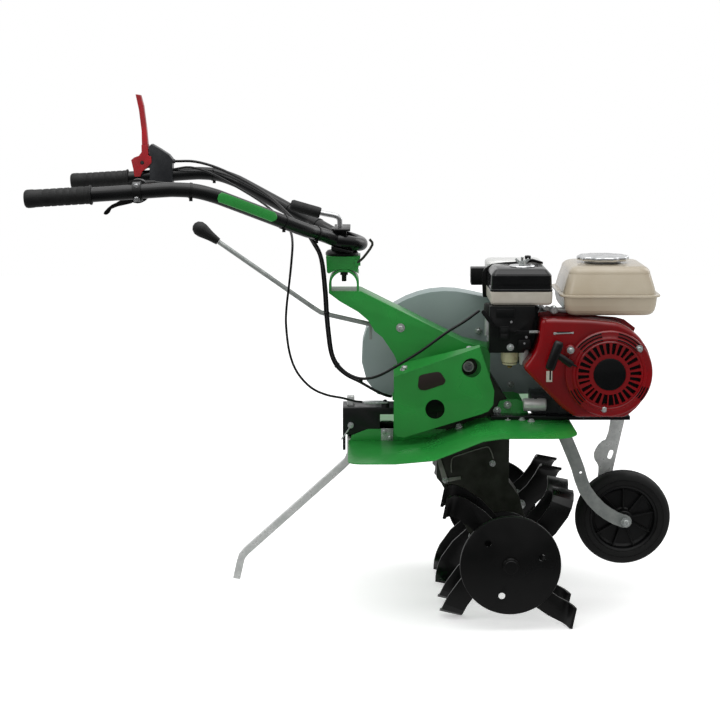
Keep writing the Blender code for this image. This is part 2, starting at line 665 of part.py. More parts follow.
def build_belt_drive(machine, finishes):
    outline = guard_outline()
    near, far = GUARD_Y
    shell = slab(outline, near, far)
    hollow = slab(inset(outline, GUARD_WALL), near + GUARD_WALL, far - GUARD_WALL)
    crank_hole = cylinder(CRANK, 0.045, near - 0.01, near + GUARD_WALL * 2)
    input_hole = cylinder(INPUT, INPUT_R + 0.008, near - 0.01, near + GUARD_WALL * 2)
    guard = piece("belt_guard", finishes["guard"], [shell], machine, [hollow, crank_hole, input_hole])
    pivot_pin = cylinder(IDLER_PIVOT, IDLER_PIN_R, near + 0.001, IDLER_ARM_Y[1] + 0.002, steps=12)
    collar = cylinder(IDLER_PIVOT, 0.010, near + 0.001, IDLER_ARM_Y[0] - GAP, steps=12)
    combine(guard, "UNION", [pivot_pin, collar], machine, machine["pivot"])

    grip = BELT_HALF_WIDTH
    pairs = [(r - GROOVE + PLAY, r - GROOVE + PLAY + BELT_THICK) for r in (DRIVEN_PULLEY_R, DRIVE_PULLEY_R)]
    inner = wrapped(INPUT, pairs[0][0], CRANK, pairs[1][0], 10)
    outer = wrapped(INPUT, pairs[0][1], CRANK, pairs[1][1], 10)
    piece("drive_belt", finishes["rubber"], [ring(outer, inner, BELT_Y - grip, BELT_Y + grip)], machine)

    swing = joint("joint_idler_swing", IDLER_PIVOT, machine)
    route = [(IDLER_PIVOT.x, IDLER_PIVOT.z), (IDLER_AT.x, IDLER_AT.z)]
    arm = slab(band(route, 0.024), *IDLER_ARM_Y)
    stub = cylinder(IDLER_AT, IDLER_PIN_R, IDLER_ARM_Y[0] + 0.001, BELT_Y + 0.009, steps=12)
    hole = bore(IDLER_PIVOT, IDLER_PIN_R, IDLER_ARM_Y[0] - 0.01, IDLER_ARM_Y[1] + 0.01, steps=12)
    piece("idler_arm", finishes["zinc"], [arm, stub], swing, [hole])
    spin = joint("joint_idler_spin", IDLER_AT, swing)
    roller = sleeve(IDLER_AT, IDLER_R, IDLER_PIN_R + PLAY, IDLER_ARM_Y[1] + 2 * PLAY, BELT_Y + 0.008)
    piece("idler_pulley", finishes["steel"], [roller], spin)


def build_engine(machine, finishes):
    seat = ENGINE_SEAT_Z + GAP
    block = box(CRANKCASE_X, (ENGINE_NEAR_Y, ENGINE_FAR_Y), (seat + FOOT_THICK / 2, CRANKCASE_TOP_Z))
    foot = box(FOOT_X, (ENGINE_NEAR_Y, 0.083), (seat, seat + FOOT_THICK))
    out = Vector((-math.cos(CYLINDER_TILT), math.sin(CYLINDER_TILT)))
    up = Vector((math.sin(CYLINDER_TILT), math.cos(CYLINDER_TILT)))
    centre = Vector((CRANK.x, CRANK.z))
    upper, lower = [], []
    pitch = CYLINDER_LENGTH / (2 * FINS)
    for k in range(2 * FINS):
        half = FIN_HALF if k % 2 else CYLINDER_HALF
        for end in (k, k + 1):
            place = centre + out * (CYLINDER_FROM + pitch * end)
            upper.append(tuple(place + up * half))
            lower.append(tuple(place - up * half))
    barrel = slab(upper + lower[::-1], *CYLINDER_Y)
    oil_box = box((0.0595, 0.130), (-0.050, 0.030), (seat, 0.312))
    oil_plug = cylinder(Vector((0.066, 0, 0.296)), 0.0125, -0.064, -0.045, steps=12)
    chamber = cylinder(CRANK, CHAMBER_R, ENGINE_NEAR_Y - 0.01, 0.075, steps=28)
    shaft_way = bore(CRANK, CRANK_R, 0.06, ENGINE_FAR_Y + 0.02)
    piece("engine_block", finishes["aluminium"], [block, foot, barrel, oil_box, oil_plug], machine,
          [chamber, shaft_way])

    crank = joint("joint_crank_spin", CRANK, machine)
    shaft = cylinder(CRANK, CRANK_R, -0.112, BELT_Y + 0.012)
    webs = [cylinder(CRANK, 0.040, *span, steps=16) for span in ((-0.020, -0.006), (0.022, 0.036))]
    piece("crankshaft", finishes["steel"], [shaft] + webs, crank)
    low, high = FLYWHEEL_Y
    hub = [(CRANK_R + PLAY, high), (FLYWHEEL_R, high), (FLYWHEEL_R, low), (0.030, low), (0.026, -0.118),
           (CRANK_R + PLAY, -0.118)]
    wheel = [turned(hub, CRANK, steps=24, closed=True)]
    for k in range(VANES):
        turn = 2 * math.pi * k / VANES
        start = CRANK + 0.040 * Vector((math.cos(turn), 0, math.sin(turn)))
        end = CRANK + 0.073 * Vector((math.cos(turn + 0.25), 0, math.sin(turn + 0.25)))
        wheel.append(slab(band([(start.x, start.z), (end.x, end.z)], 0.004, 2), -0.108, low + 0.001))
    piece("flywheel", finishes["black"], wheel, crank)
    build_pulley("drive_pulley", finishes["casting"], CRANK, DRIVE_PULLEY_R, CRANK_R, crank, 20)

    rear = ENGINE_NEAR_Y - GAP
    outline = list(SHROUD_OUTLINE)
    sections = ((outline, rear), (outline, SHROUD_FACE_Y + SHROUD_EDGE),
                (inset(outline, SHROUD_EDGE * 0.3), SHROUD_FACE_Y + SHROUD_EDGE * 0.3),
                (inset(outline, SHROUD_EDGE), SHROUD_FACE_Y))
    shell = loft([[(x, y, z) for x, z in line] for line, y in sections])
    hollow = slab(inset(outline, SHROUD_WALL), rear + 0.01, SHROUD_FACE_Y + SHROUD_EDGE)
    air_hole = cylinder(CRANK, RECOIL_R - 0.010, SHROUD_FACE_Y - 0.01, SHROUD_FACE_Y + 0.03, steps=28)
    piece("fan_shroud", finishes["red"], [shell], machine, [hollow, air_hole])
    back = SHROUD_FACE_Y - GAP
    front = back - RECOIL_DEPTH
    profile = [(0, front), (0.032, front), (RECOIL_R - 0.007, front + 0.003), (RECOIL_R, front + 0.009),
               (RECOIL_R, back), (RECOIL_R - RECOIL_WALL, back), (RECOIL_R - RECOIL_WALL, front + 0.0105),
               (RECOIL_R - 0.009, front + 0.003 + RECOIL_WALL), (0.032, front + RECOIL_WALL),
               (0, front + RECOIL_WALL)]
    way = (PULL_END - PULL_MIDDLE).normalized()
    guide_end = PULL_END + Vector((0.013, 0.007, -0.007))
    guide = rod([PULL_END + way * GAP, PULL_END + way * 0.005, guide_end], 0.008)
    piece("recoil_cover", finishes["red"], [turned(profile, CRANK, steps=32), guide], machine)

    x0, (z0, z1) = CARB_X0, CARB_Z
    body = [(x0, z0), CARB_SLOPE[1], CARB_SLOPE[0], (CARB_SLOPE[0][0], z1), (x0, z1)]
    shells = [slab(body, CARB_FACE_Y, CYLINDER_Y[0] - GAP)]
    shells.append(cylinder(BOWL_AT, BOWL_R, *BOWL_Z, axis="Z"))
    shells.append(cylinder(BOWL_AT, 0.006, BOWL_Z[0] - 0.008, BOWL_Z[0] + 0.002, axis="Z", steps=8))
    shells.append(box((0.000, 0.044), (-0.0595, -0.0455), (0.400, 0.4155)))
    shells.append(cylinder(Vector((0.036, -0.0525, 0)), 0.007, 0.384, 0.402, axis="Z", steps=16))
    for at in (CHOKE_AT, THROTTLE_ARM_AT):
        pin_at = Vector((at.x, 0, at.z))
        shells.append(cylinder(pin_at, 0.0025, CARB_FACE_Y - 0.0045, CARB_FACE_Y + 0.002, steps=10))
    piece("carburettor", finishes["plastic"], shells, machine)
    choke = joint("joint_choke_turn", CHOKE_AT, machine)
    reach = [(CHOKE_AT.x, CHOKE_AT.z), (CHOKE_AT.x + CHOKE_LENGTH, CHOKE_AT.z)]
    small_lever("choke_lever", finishes["zinc"], reach, CHOKE_AT, choke)
    arm = joint("joint_throttle_arm_turn", THROTTLE_ARM_AT, machine)
    reach = [(THROTTLE_ARM_AT.x, THROTTLE_ARM_AT.z), (THROTTLE_ARM_TIP.x, THROTTLE_ARM_TIP.z)]
    small_lever("throttle_arm", finishes["zinc"], reach, THROTTLE_ARM_AT, arm)

    base = CARB_Z[1] + GAP
    lid = base + CLEANER_CASE_H + GAP
    case = rounded_box(CLEANER_X, CLEANER_Y, 0.012, [(base, 0.006), (base + 0.006, 0.0), (lid - GAP, 0.0)])
    stud = WING_NUT_AT
    lid_top = lid + CLEANER_COVER_H
    piece("air_cleaner_case", finishes["white"], [case], machine)
    cover = rounded_box(CLEANER_X, CLEANER_Y, 0.012,
                        [(lid, 0.0), (lid + 0.026, 0.001), (lid + 0.036, 0.003), (lid_top, 0.008)])
    washer = cylinder(Vector((*stud, 0)), 0.026, lid_top - 0.001, lid_top + 0.003, axis="Z", steps=20)
    screw = cylinder(Vector((*stud, 0)), 0.003, lid_top, lid_top + 0.020, axis="Z", steps=10)
    piece("air_cleaner_cover", finishes["plastic"], [cover, washer, screw], machine)
    nut_at = Vector((*stud, lid_top + 0.003 + GAP))
    nut = joint("joint_wing_nut_turn", nut_at, machine)
    core = cylinder(nut_at, 0.007, 0.0, 0.009, axis="Z", steps=12)
    wings = slab([(nut_at.x - 0.013, nut_at.z + 0.015), (nut_at.x - 0.016, nut_at.z + 0.011),
                  (nut_at.x - 0.005, nut_at.z + 0.001), (nut_at.x + 0.005, nut_at.z + 0.001),
                  (nut_at.x + 0.016, nut_at.z + 0.011), (nut_at.x + 0.013, nut_at.z + 0.015),
                  (nut_at.x + 0.004, nut_at.z + 0.008), (nut_at.x - 0.004, nut_at.z + 0.008)],
                 nut_at.y - 0.0015, nut_at.y + 0.0015)
    piece("wing_nut", finishes["zinc"], [core, wings], nut, [bore(nut_at, 0.003, -0.01, 0.02, "Z", 10)])

    can = rounded_box(MUFFLER_X, MUFFLER_Y, 0.016, [(MUFFLER_Z[0], 0.006), (MUFFLER_Z[0] + 0.006, 0.0),
                                                    (MUFFLER_Z[1] - 0.006, 0.0), (MUFFLER_Z[1], 0.006)])
    elbow = box(ELBOW_X, (CYLINDER_Y[1] + PLAY, CYLINDER_Y[1] + 0.030), (0.450, MUFFLER_Z[0] + 0.010))
    chamber = box((MUFFLER_X[0] + 0.016, MUFFLER_X[1] - 0.016), (MUFFLER_Y[0] + 0.008, MUFFLER_Y[1] - 0.008),
                  (MUFFLER_Z[0] + 0.003, MUFFLER_Z[1] - 0.003))
    outlet = box((OUTLET_X, MUFFLER_X[0] + 0.001), OUTLET_Y, OUTLET_Z)
    mouth = box((OUTLET_X - 0.01, MUFFLER_X[0] + 0.020),
                (OUTLET_Y[0] + OUTLET_WALL, OUTLET_Y[1] - OUTLET_WALL),
                (OUTLET_Z[0] + OUTLET_WALL, OUTLET_Z[1] - OUTLET_WALL))
    piece("muffler", finishes["black"], [can, elbow, outlet], machine, [chamber, mouth])
    build_tank(machine, finishes)
    build_starter_grip(machine, finishes)


def small_lever(name, finish, reach, pivot, parent):
    """A flat control lever that turns on its pin in front of the carburettor's cover."""
    front, back = CARB_FACE_Y - GAP - 0.003, CARB_FACE_Y - GAP
    hole = bore(Vector((pivot.x, 0, pivot.z)), 0.0025, front - 0.01, back + 0.01, steps=10)
    piece(name, finish, [slab(band(reach, 0.009), front, back)], parent, [hole])


def rounded_outline(x, y, corner, back=0.0, steps=3):
    """A plan outline (x, y) with round corners, drawn in by back on each side."""
    x0, x1, y0, y1 = x[0] + back, x[1] - back, y[0] + back, y[1] - back
    outline = []
    for cx, cy, start in ((x1 - corner, y1 - corner, 0), (x0 + corner, y1 - corner, 90),
                          (x0 + corner, y0 + corner, 180), (x1 - corner, y0 + corner, 270)):
        outline += arc(cx, cy, corner, start, start + 90, steps)
    return outline


def rounded_box(x, y, corner, levels):
    """A box with round upright corners through (height, draw-in) levels."""
    return loft([[(px, py, z) for px, py in rounded_outline(x, y, corner, back)] for z, back in levels])


def build_tank(machine, finishes):
    z0, z1 = TANK_Z
    seam = TANK_SEAM_Z
    body = rounded_box(TANK_X, TANK_Y, TANK_CORNER,
                       [(z0, 0.014), (z0 + 0.008, 0.004), (seam - 0.002, 0.0), (seam - 0.002, -TANK_SEAM),
                        (seam + 0.002, -TANK_SEAM), (seam + 0.002, 0.0), (z1 - 0.016, 0.004),
                        (z1 - 0.005, 0.010), (z1, 0.020)])
    neck = cylinder(FILLER_AT, FILLER_R, z1 - 0.010, NECK_TOP_Z, axis="Z", steps=20)
    stay = box((0.172, 0.262), (-0.030, 0.060), (CRANKCASE_TOP_Z + GAP, z0 + 0.001))
    hollow = rounded_box(TANK_X, TANK_Y, TANK_CORNER - TANK_WALL,
                         [(z0 + TANK_WALL, 0.017), (z0 + 0.010, 0.004 + TANK_WALL),
                          (z1 - 0.018, 0.004 + TANK_WALL), (z1 - TANK_WALL, 0.023)])
    throat = cylinder(FILLER_AT, FILLER_R - 0.008, z1 - 0.02, NECK_TOP_Z + 0.01, axis="Z", steps=20)
    piece("fuel_tank", finishes["tank"], [body, neck, stay], machine, [hollow, throat])
    seat = NECK_TOP_Z + GAP
    cap_at = Vector((FILLER_AT.x, FILLER_AT.y, seat))
    cap = joint("joint_fuel_cap_turn", cap_at, machine)
    profile = [(0, 0), (CAP_R, 0), (CAP_R, CAP_HEIGHT - 0.002), (CAP_R - 0.003, CAP_HEIGHT), (0, CAP_HEIGHT)]
    plug = cylinder(cap_at, FILLER_R - 0.012, -0.008, 0.001, axis="Z", steps=16)
    lid = turned(profile, cap_at, axis="Z", steps=24)
    piece("fuel_cap", finishes["tank"], [lid, plug], cap)


def build_starter_grip(machine, finishes):
    """The pull grip: a bar with a short stem that seats on the recoil cover's rope guide."""
    half = Vector((0.009, 0, 0.033))
    pull = joint("joint_starter_pull", PULL_MIDDLE, machine)
    bar = rod([PULL_MIDDLE - half, PULL_MIDDLE + half], 0.0085, 10)
    stem = rod([PULL_MIDDLE, PULL_END], 0.006, 10)
    piece("starter_grip", finishes["rubber"], [bar, stem], pull)


def build_frame(machine, finishes):
    inner_y = CASE_HALF + GAP
    top = [FENDER_REAR, *FENDER_FOLDS, FENDER_FRONT]
    bottom = [(x, z - FENDER_THICK) for x, z in reversed(top)]
    for side, word in ((-1, "right"), (1, "left")):
        sheet = slab(bottom + top, *sorted((side * inner_y, side * FENDER_OUTER_Y)))
        lug_y = sorted((side * (inner_y + 0.003), side * (inner_y + 0.006)))
        lug = slab([(LUG_X[0], FENDER_FOLDS[-1][1] - 0.001), (LUG_X[1], FENDER_FOLDS[-1][1] - 0.001),
                    (LUG_X[1] - 0.018, LUG_TOP_Z - 0.004), (LUG_X[1] - 0.030, LUG_TOP_Z),
                    (LUG_X[0] + 0.030, LUG_TOP_Z), (LUG_X[0] + 0.014, LUG_TOP_Z - 0.004)], *lug_y)
        x1, y1 = FENDER_FRONT[0], FENDER_OUTER_Y
        front = [(x1 + 0.02, y1 + 0.02), (x1 - FENDER_CORNER, y1 + 0.02)]
        front += arc(x1 - FENDER_CORNER, y1 - FENDER_CORNER, FENDER_CORNER, 90, 0, 5)
        front += [(x1 + 0.02, y1 - FENDER_CORNER)]
        x0 = FENDER_REAR[0]
        rear = [(x0 - 0.02, y1 + 0.02), (x0 - 0.02, y1 - 0.025)]
        rear += arc(x0 + 0.025, y1 - 0.025, 0.025, 180, 90, 3) + [(x0 + 0.025, y1 + 0.02)]
        corners = [tray([(x, side * y) for x, y in outline], 0.15, 0.35) for outline in (front, rear)]
        notch = ((x0 - 0.02, 0.0), (x0 + 0.020, 0.0), (x0 - 0.02, 0.075))
        hitch_gap = tray([(x, side * y) for x, y in notch], 0.15, 0.35)
        piece(word + "_fender", finishes["green"], [sheet, lug], machine, corners + [hitch_gap])

    plate_z = (FENDER_FRONT[1] + GAP, ENGINE_SEAT_Z)
    plate = box(PLATE_X, (-PLATE_HALF_Y, PLATE_HALF_Y), plate_z)
    lug_x = (WHEEL_PIVOT.x - LUG_HALF_X, WHEEL_PIVOT.x + LUG_HALF_X)
    lug_top = plate_z[0] + 0.001
    lug_outline = [(lug_x[0], lug_top), (lug_x[0], WHEEL_PIVOT.z)]
    lug_outline += arc(WHEEL_PIVOT.x, WHEEL_PIVOT.z, 0.014, 200, 340, 6)
    lug_outline += [(lug_x[1], WHEEL_PIVOT.z), (lug_x[1], lug_top)]
    lug = slab(lug_outline, ARM_Y + GAP, STRUT_Y[0] - 0.004)
    slot_y = inner_y + 0.009
    slot = box((PLATE_X[0] - 0.01, PLATE_SLOT_X), (-slot_y, slot_y), (0.25, 0.29))
    pin_way = bore(WHEEL_PIVOT, 0.006, ARM_Y - 0.01, STRUT_Y[0] + 0.01, steps=16)
    piece("chassis_plate", finishes["black"], [plate, lug], machine, [slot, pin_way])

    strut_top = plate_z[0] - GAP
    outline = [(x, strut_top if z > 0.26 else z) for x, z in STRUT_OUTLINE]
    (x0, z0), (x1, z1) = STRUT_SLOT
    slot = box((x0, x1), (STRUT_Y[0] - 0.01, STRUT_Y[1] + 0.01), (z0, z1))
    piece("wheel_strut", finishes["zinc"], [slab(outline, *STRUT_Y)], machine, [slot])


def column_outline():
    """Side view of the steering column: upper edge first, then back along the lower edge."""
    upper = [(-0.305, HEAD_SEAT_Z), (-0.085, 0.425), (-0.030, 0.413)]
    lower = [(-0.030, 0.330), (-0.070, 0.302), (-0.226, 0.302), (-0.226, 0.379), (-0.235, 0.400),
             (-0.259, 0.436), (-0.276, 0.450), (-0.289, 0.472), (-0.311, 0.491), (-0.349, 0.513),
             (-0.373, HEAD_SEAT_Z - 0.004), (-0.373, HEAD_SEAT_Z)]
    return upper, lower


def build_column(machine, finishes):
    upper, lower = column_outline()
    body = slab(upper + lower, -COLUMN_HALF, COLUMN_HALF)
    inside = COLUMN_HALF - COLUMN_SHEET
    web = COLUMN_SHEET
    channel = slab([(-0.45, HEAD_SEAT_Z - web), (upper[0][0] - 0.001, HEAD_SEAT_Z - web),
                    (upper[1][0] - 0.001, upper[1][1] - web * 1.12),
                    (upper[2][0] + 0.02, upper[2][1] - web * 2.4),
                    (0.0, 0.25), (-0.45, 0.25)], -inside, inside)
    arch = (arc(TILT.x, TILT.z, ARCH_R, 0, 180, 14) + [(TILT.x - ARCH_R, HEAD_SEAT_Z - 0.001),
            (TILT.x - ARCH_R + ARCH_THICK, HEAD_SEAT_Z - 0.001)]
            + arc(TILT.x, TILT.z, ARCH_R - ARCH_THICK, 180, 0, 14)
            + [(TILT.x + ARCH_R - ARCH_THICK, HEAD_SEAT_Z - 0.001), (TILT.x + ARCH_R, HEAD_SEAT_Z - 0.001)])
    hoop = slab(arch, -ARCH_HALF, ARCH_HALF)
    guide = box((-0.252, -0.246), (-inside - 0.001, inside + 0.001), (0.4365, 0.470))
    cable_stop = box((-0.238, -0.2245), (-0.062, -COLUMN_HALF + 0.001), (0.304, 0.318))
    sector = [(TILT.x, TILT.z + 0.012)] + arc(TILT.x, TILT.z, 0.045, 46, 134, 4)
    cuts = [channel, slab(sector, -0.0064, 0.0064)]
    cuts.append(cylinder(INPUT, INPUT_R + 0.009, -COLUMN_HALF - 0.01, COLUMN_HALF + 0.01))
    column = piece("steering_column", finishes["green"], [body, hoop, cable_stop], machine, cuts)
    combine(column, "UNION", [guide], machine, machine["pivot"])
    way = (GEAR_ROD_END - Vector((GEAR_ROD_ROUTE[0][0], GEAR_ROD_Y, GEAR_ROD_ROUTE[0][1]))).normalized()
    guide_cut = rod([GEAR_ROD_END - way * 0.035, GEAR_ROD_END, GEAR_ROD_END + way * 0.01],
                    (GEAR_ROD_R + PLAY) / math.cos(math.pi / 12), 12)
    combine(column, "DIFFERENCE", [guide_cut], machine, machine["pivot"])


def build_side_cover(machine, finishes):
    """A folded sheet: top band back to the column, face, and a lower band that flares outwards."""
    t = COVER_SHEET
    back, face, flare = -COLUMN_HALF - GAP, COVER_FACE_Y, COVER_FACE_Y - 0.008

    def section(x, back_z, top_z, fold_z, foot_z):
        outer = [(back, back_z), (face, top_z), (face, fold_z), (flare, foot_z)]
        inner = [(flare + t, foot_z), (face + t, fold_z), (face + t, top_z - t), (back, back_z - t)]
        return [(x, y, z) for y, z in outer + inner]

    rear, ahead = section(-0.2370, 0.3765, 0.360, 0.283, 0.215), section(-0.010, 0.427, 0.4405, 0.334, 0.266)
    sheet = loft([rear, ahead])
    bmesh.ops.triangulate(sheet, faces=sheet.faces)
    outline = [(-0.2360, 0.390), (-0.2360, 0.244), (-0.228, 0.234), (-0.215, 0.232), (-0.052, 0.282),
               (-0.037, 0.288), (-0.0265, 0.302), (-0.0245, 0.331), (-0.0555, 0.424), (-0.0560, 0.440)]
    cover = piece("side_cover", finishes["green"], [sheet], machine)
    keep = slab(outline, face - 0.03, back + 0.01)
    combine(cover, "INTERSECT", [keep], machine, machine["pivot"])
    holes = [cylinder(Vector((x, 0, z)), COVER_HOLE_R, face - 0.02, face + 0.02)
             for x, z in ((INPUT.x + 0.003, INPUT.z + 0.006), COVER_LOWER_HOLE)]
    combine(cover, "DIFFERENCE", holes, machine, machine["pivot"])


def build_hitch(machine, finishes):
    z0, z1 = HITCH_Z
    block = box(HITCH_X, (-HITCH_HALF, HITCH_HALF), (z0, z1))
    tail_y = (-HITCH_HALF, -HITCH_HALF + 0.014)
    tail = box((HITCH_X[0], HITCH_X[0] + 0.006), tail_y, (HITCH_TAIL_Z, z0 + 0.001))
    rails = box((HITCH_X[1] - 0.001, CASE_REAR_X - GAP), (-HITCH_HALF, HITCH_HALF), (z0, z1))
    between = box((HITCH_X[1], CASE_REAR_X + 0.01), (-HITCH_HALF + HITCH_PLATE, HITCH_HALF - HITCH_PLATE),
                  (z0 - 0.01, z1 - HITCH_PLATE))
    window = box(HITCH_WINDOW_X, (-HITCH_HALF - 0.01, HITCH_HALF + 0.01), (z0 + 0.012, z1 - 0.014))
    square = STAKE_SIDE / 2 + GAP
    stake_way = box((STAKE_X - square, STAKE_X + square), (-square, square), (z0 - 0.01, z1 + 0.01))
    pin_way = bore(Vector((STAKE_X, 0, PIN_Z)), PIN_R, -HITCH_HALF - 0.01, HITCH_HALF + 0.01, steps=12)
    spacer = cylinder(ARM_PIVOT, 0.009, -0.001, 0.009, axis="Z", steps=16)
    stud = cylinder(ARM_PIVOT, 0.004, 0.0, 0.016, axis="Z", steps=12)
    piece("hitch_bracket", finishes["black"], [block, rails, tail, spacer, stud], machine,
          [between, window, stake_way, pin_way])
    lever = joint("joint_reverse_arm_turn", shifted(ARM_PIVOT, z=0.009 + GAP), machine)
    route = [(ARM_PIVOT.x, ARM_PIVOT.y), (ARM_PIVOT.x - ARM_LENGTH, ARM_PIVOT.y)]
    blade = tray(band(route, 2 * ARM_HALF), ARM_PIVOT.z + 0.009 + GAP, ARM_PIVOT.z + 0.012 + GAP)
    hole = bore(Vector((ARM_PIVOT.x, ARM_PIVOT.y, 0)), 0.004, 0.27, 0.31, "Z", 12)
    piece("reverse_arm", finishes["zinc"], [blade], lever, [hole])

    stake = joint("joint_stake_slide", Vector((STAKE_X, 0, PIN_Z)), machine)
    upright = [(STAKE_X, 0, STAKE_TOP_Z), (STAKE_X, 0, 0.240)]
    route = upright + [(x, 0, z) for x, z in STAKE_ROUTE]
    bar = rod(route, STAKE_SIDE / math.sqrt(2), square=True)
    half = PIN_R + 2 * PLAY
    slot = box((STAKE_X - half, STAKE_X + half), (-0.02, 0.02),
               (PIN_Z - STAKE_TRAVEL - half, PIN_Z + STAKE_TRAVEL + half))
    piece("drag_stake", finishes["zinc"], [bar], stake, [slot])

    pin = joint("joint_hitch_pin_slide", Vector((STAKE_X, -HITCH_HALF, PIN_Z)), machine)
    pin_at = Vector((STAKE_X, 0, PIN_Z))
    shank = cylinder(pin_at, PIN_R, -HITCH_HALF - 0.010, HITCH_HALF + 0.006, steps=12)
    head = cylinder(pin_at, 0.0065, -HITCH_HALF - 0.006, -HITCH_HALF - GAP, steps=12)
    clip_y = -HITCH_HALF - 0.008
    clip = rod([(STAKE_X, clip_y, PIN_Z), (STAKE_X - 0.007, clip_y, PIN_Z - 0.012),
                (STAKE_X - 0.020, clip_y, PIN_Z - 0.030)], 0.0015, 6)
    piece("hitch_pin", finishes["zinc"], [shank, head, clip], pin)


def build_front_wheel(machine, finishes):
    swing = joint("joint_wheel_swing", WHEEL_PIVOT, machine)
    route = along([(WHEEL_PIVOT.x, 0, WHEEL_PIVOT.z)] + [(x, 0, z) for x, z in ARM_ROUTE]
                  + [(WHEEL_AT.x, 0, WHEEL_AT.z)], 2)
    arm = slab(band([(p.x, p.z) for p in route], ARM_WIDTH), ARM_Y - ARM_THICK, ARM_Y)
    pivot_pin = cylinder(Vector((WHEEL_PIVOT.x, 0, WHEEL_PIVOT.z)), 0.006, ARM_Y - 0.002, STRUT_Y[0] - 0.003,
                         steps=16)
    axle_at = Vector((WHEEL_AT.x, 0, WHEEL_AT.z))
    hub_half = WHEEL_HALF + 0.002
    axle = cylinder(axle_at, AXLE_R, ARM_Y - ARM_THICK - 0.004, hub_half + 0.0028, steps=16)
    head = cylinder(axle_at, 0.010, ARM_Y - ARM_THICK - 0.006, ARM_Y - 0.001, steps=6)
    collar = cylinder(axle_at, 0.010, ARM_Y - 0.001, -hub_half - PLAY, steps=16)
    nut = cylinder(axle_at, 0.0095, hub_half + PLAY, hub_half + 0.0040, steps=6)
    piece("wheel_arm", finishes["zinc"], [arm, pivot_pin, axle, head, collar, nut], swing)

    spin = joint("joint_wheel_spin", WHEEL_AT, swing)
    half, inner, rim = WHEEL_HALF, AXLE_R + PLAY, RIM_R
    side = [(inner, hub_half), (WHEEL_HUB_R, hub_half), (WHEEL_HUB_R, 0.004), (rim - 0.004, 0.004),
            (rim, half - 0.003), (WHEEL_R - 0.010, half), (WHEEL_R, half - 0.010)]
    profile = side + [(r, -t) for r, t in reversed(side)]
    shells = [turned(profile, axle_at, steps=32, closed=True)]
    for k in range(WHEEL_RIBS):
        turn = 2 * math.pi * k / WHEEL_RIBS
        spoke = Vector((math.cos(turn), math.sin(turn)))
        ends = [tuple(Vector((axle_at.x, axle_at.z)) + spoke * r) for r in (0.015, rim - 0.003)]
        shells.append(slab(band(ends, 0.004, 2), -half + 0.008, half - 0.008))
    piece("front_wheel", finishes["rubber"], shells, spin)


def bar_route():
    """Centre line of the handlebar: right leg, front bend, left leg."""
    leg = [(x, -share * BAR_HALF_Y, z) for x, share, z in BAR_LEG]
    turn = [math.radians(a) for a in (-90, -54, -18, 18, 54, 90)]
    bend = [(BEND_X + BEND_R * math.cos(a), BEND_R * math.sin(a), BEND_Z - FRONT_DROP * math.cos(a))
            for a in turn]
    return [Vector(p) for p in leg + bend + [(x, -y, z) for x, y, z in reversed(leg)]]


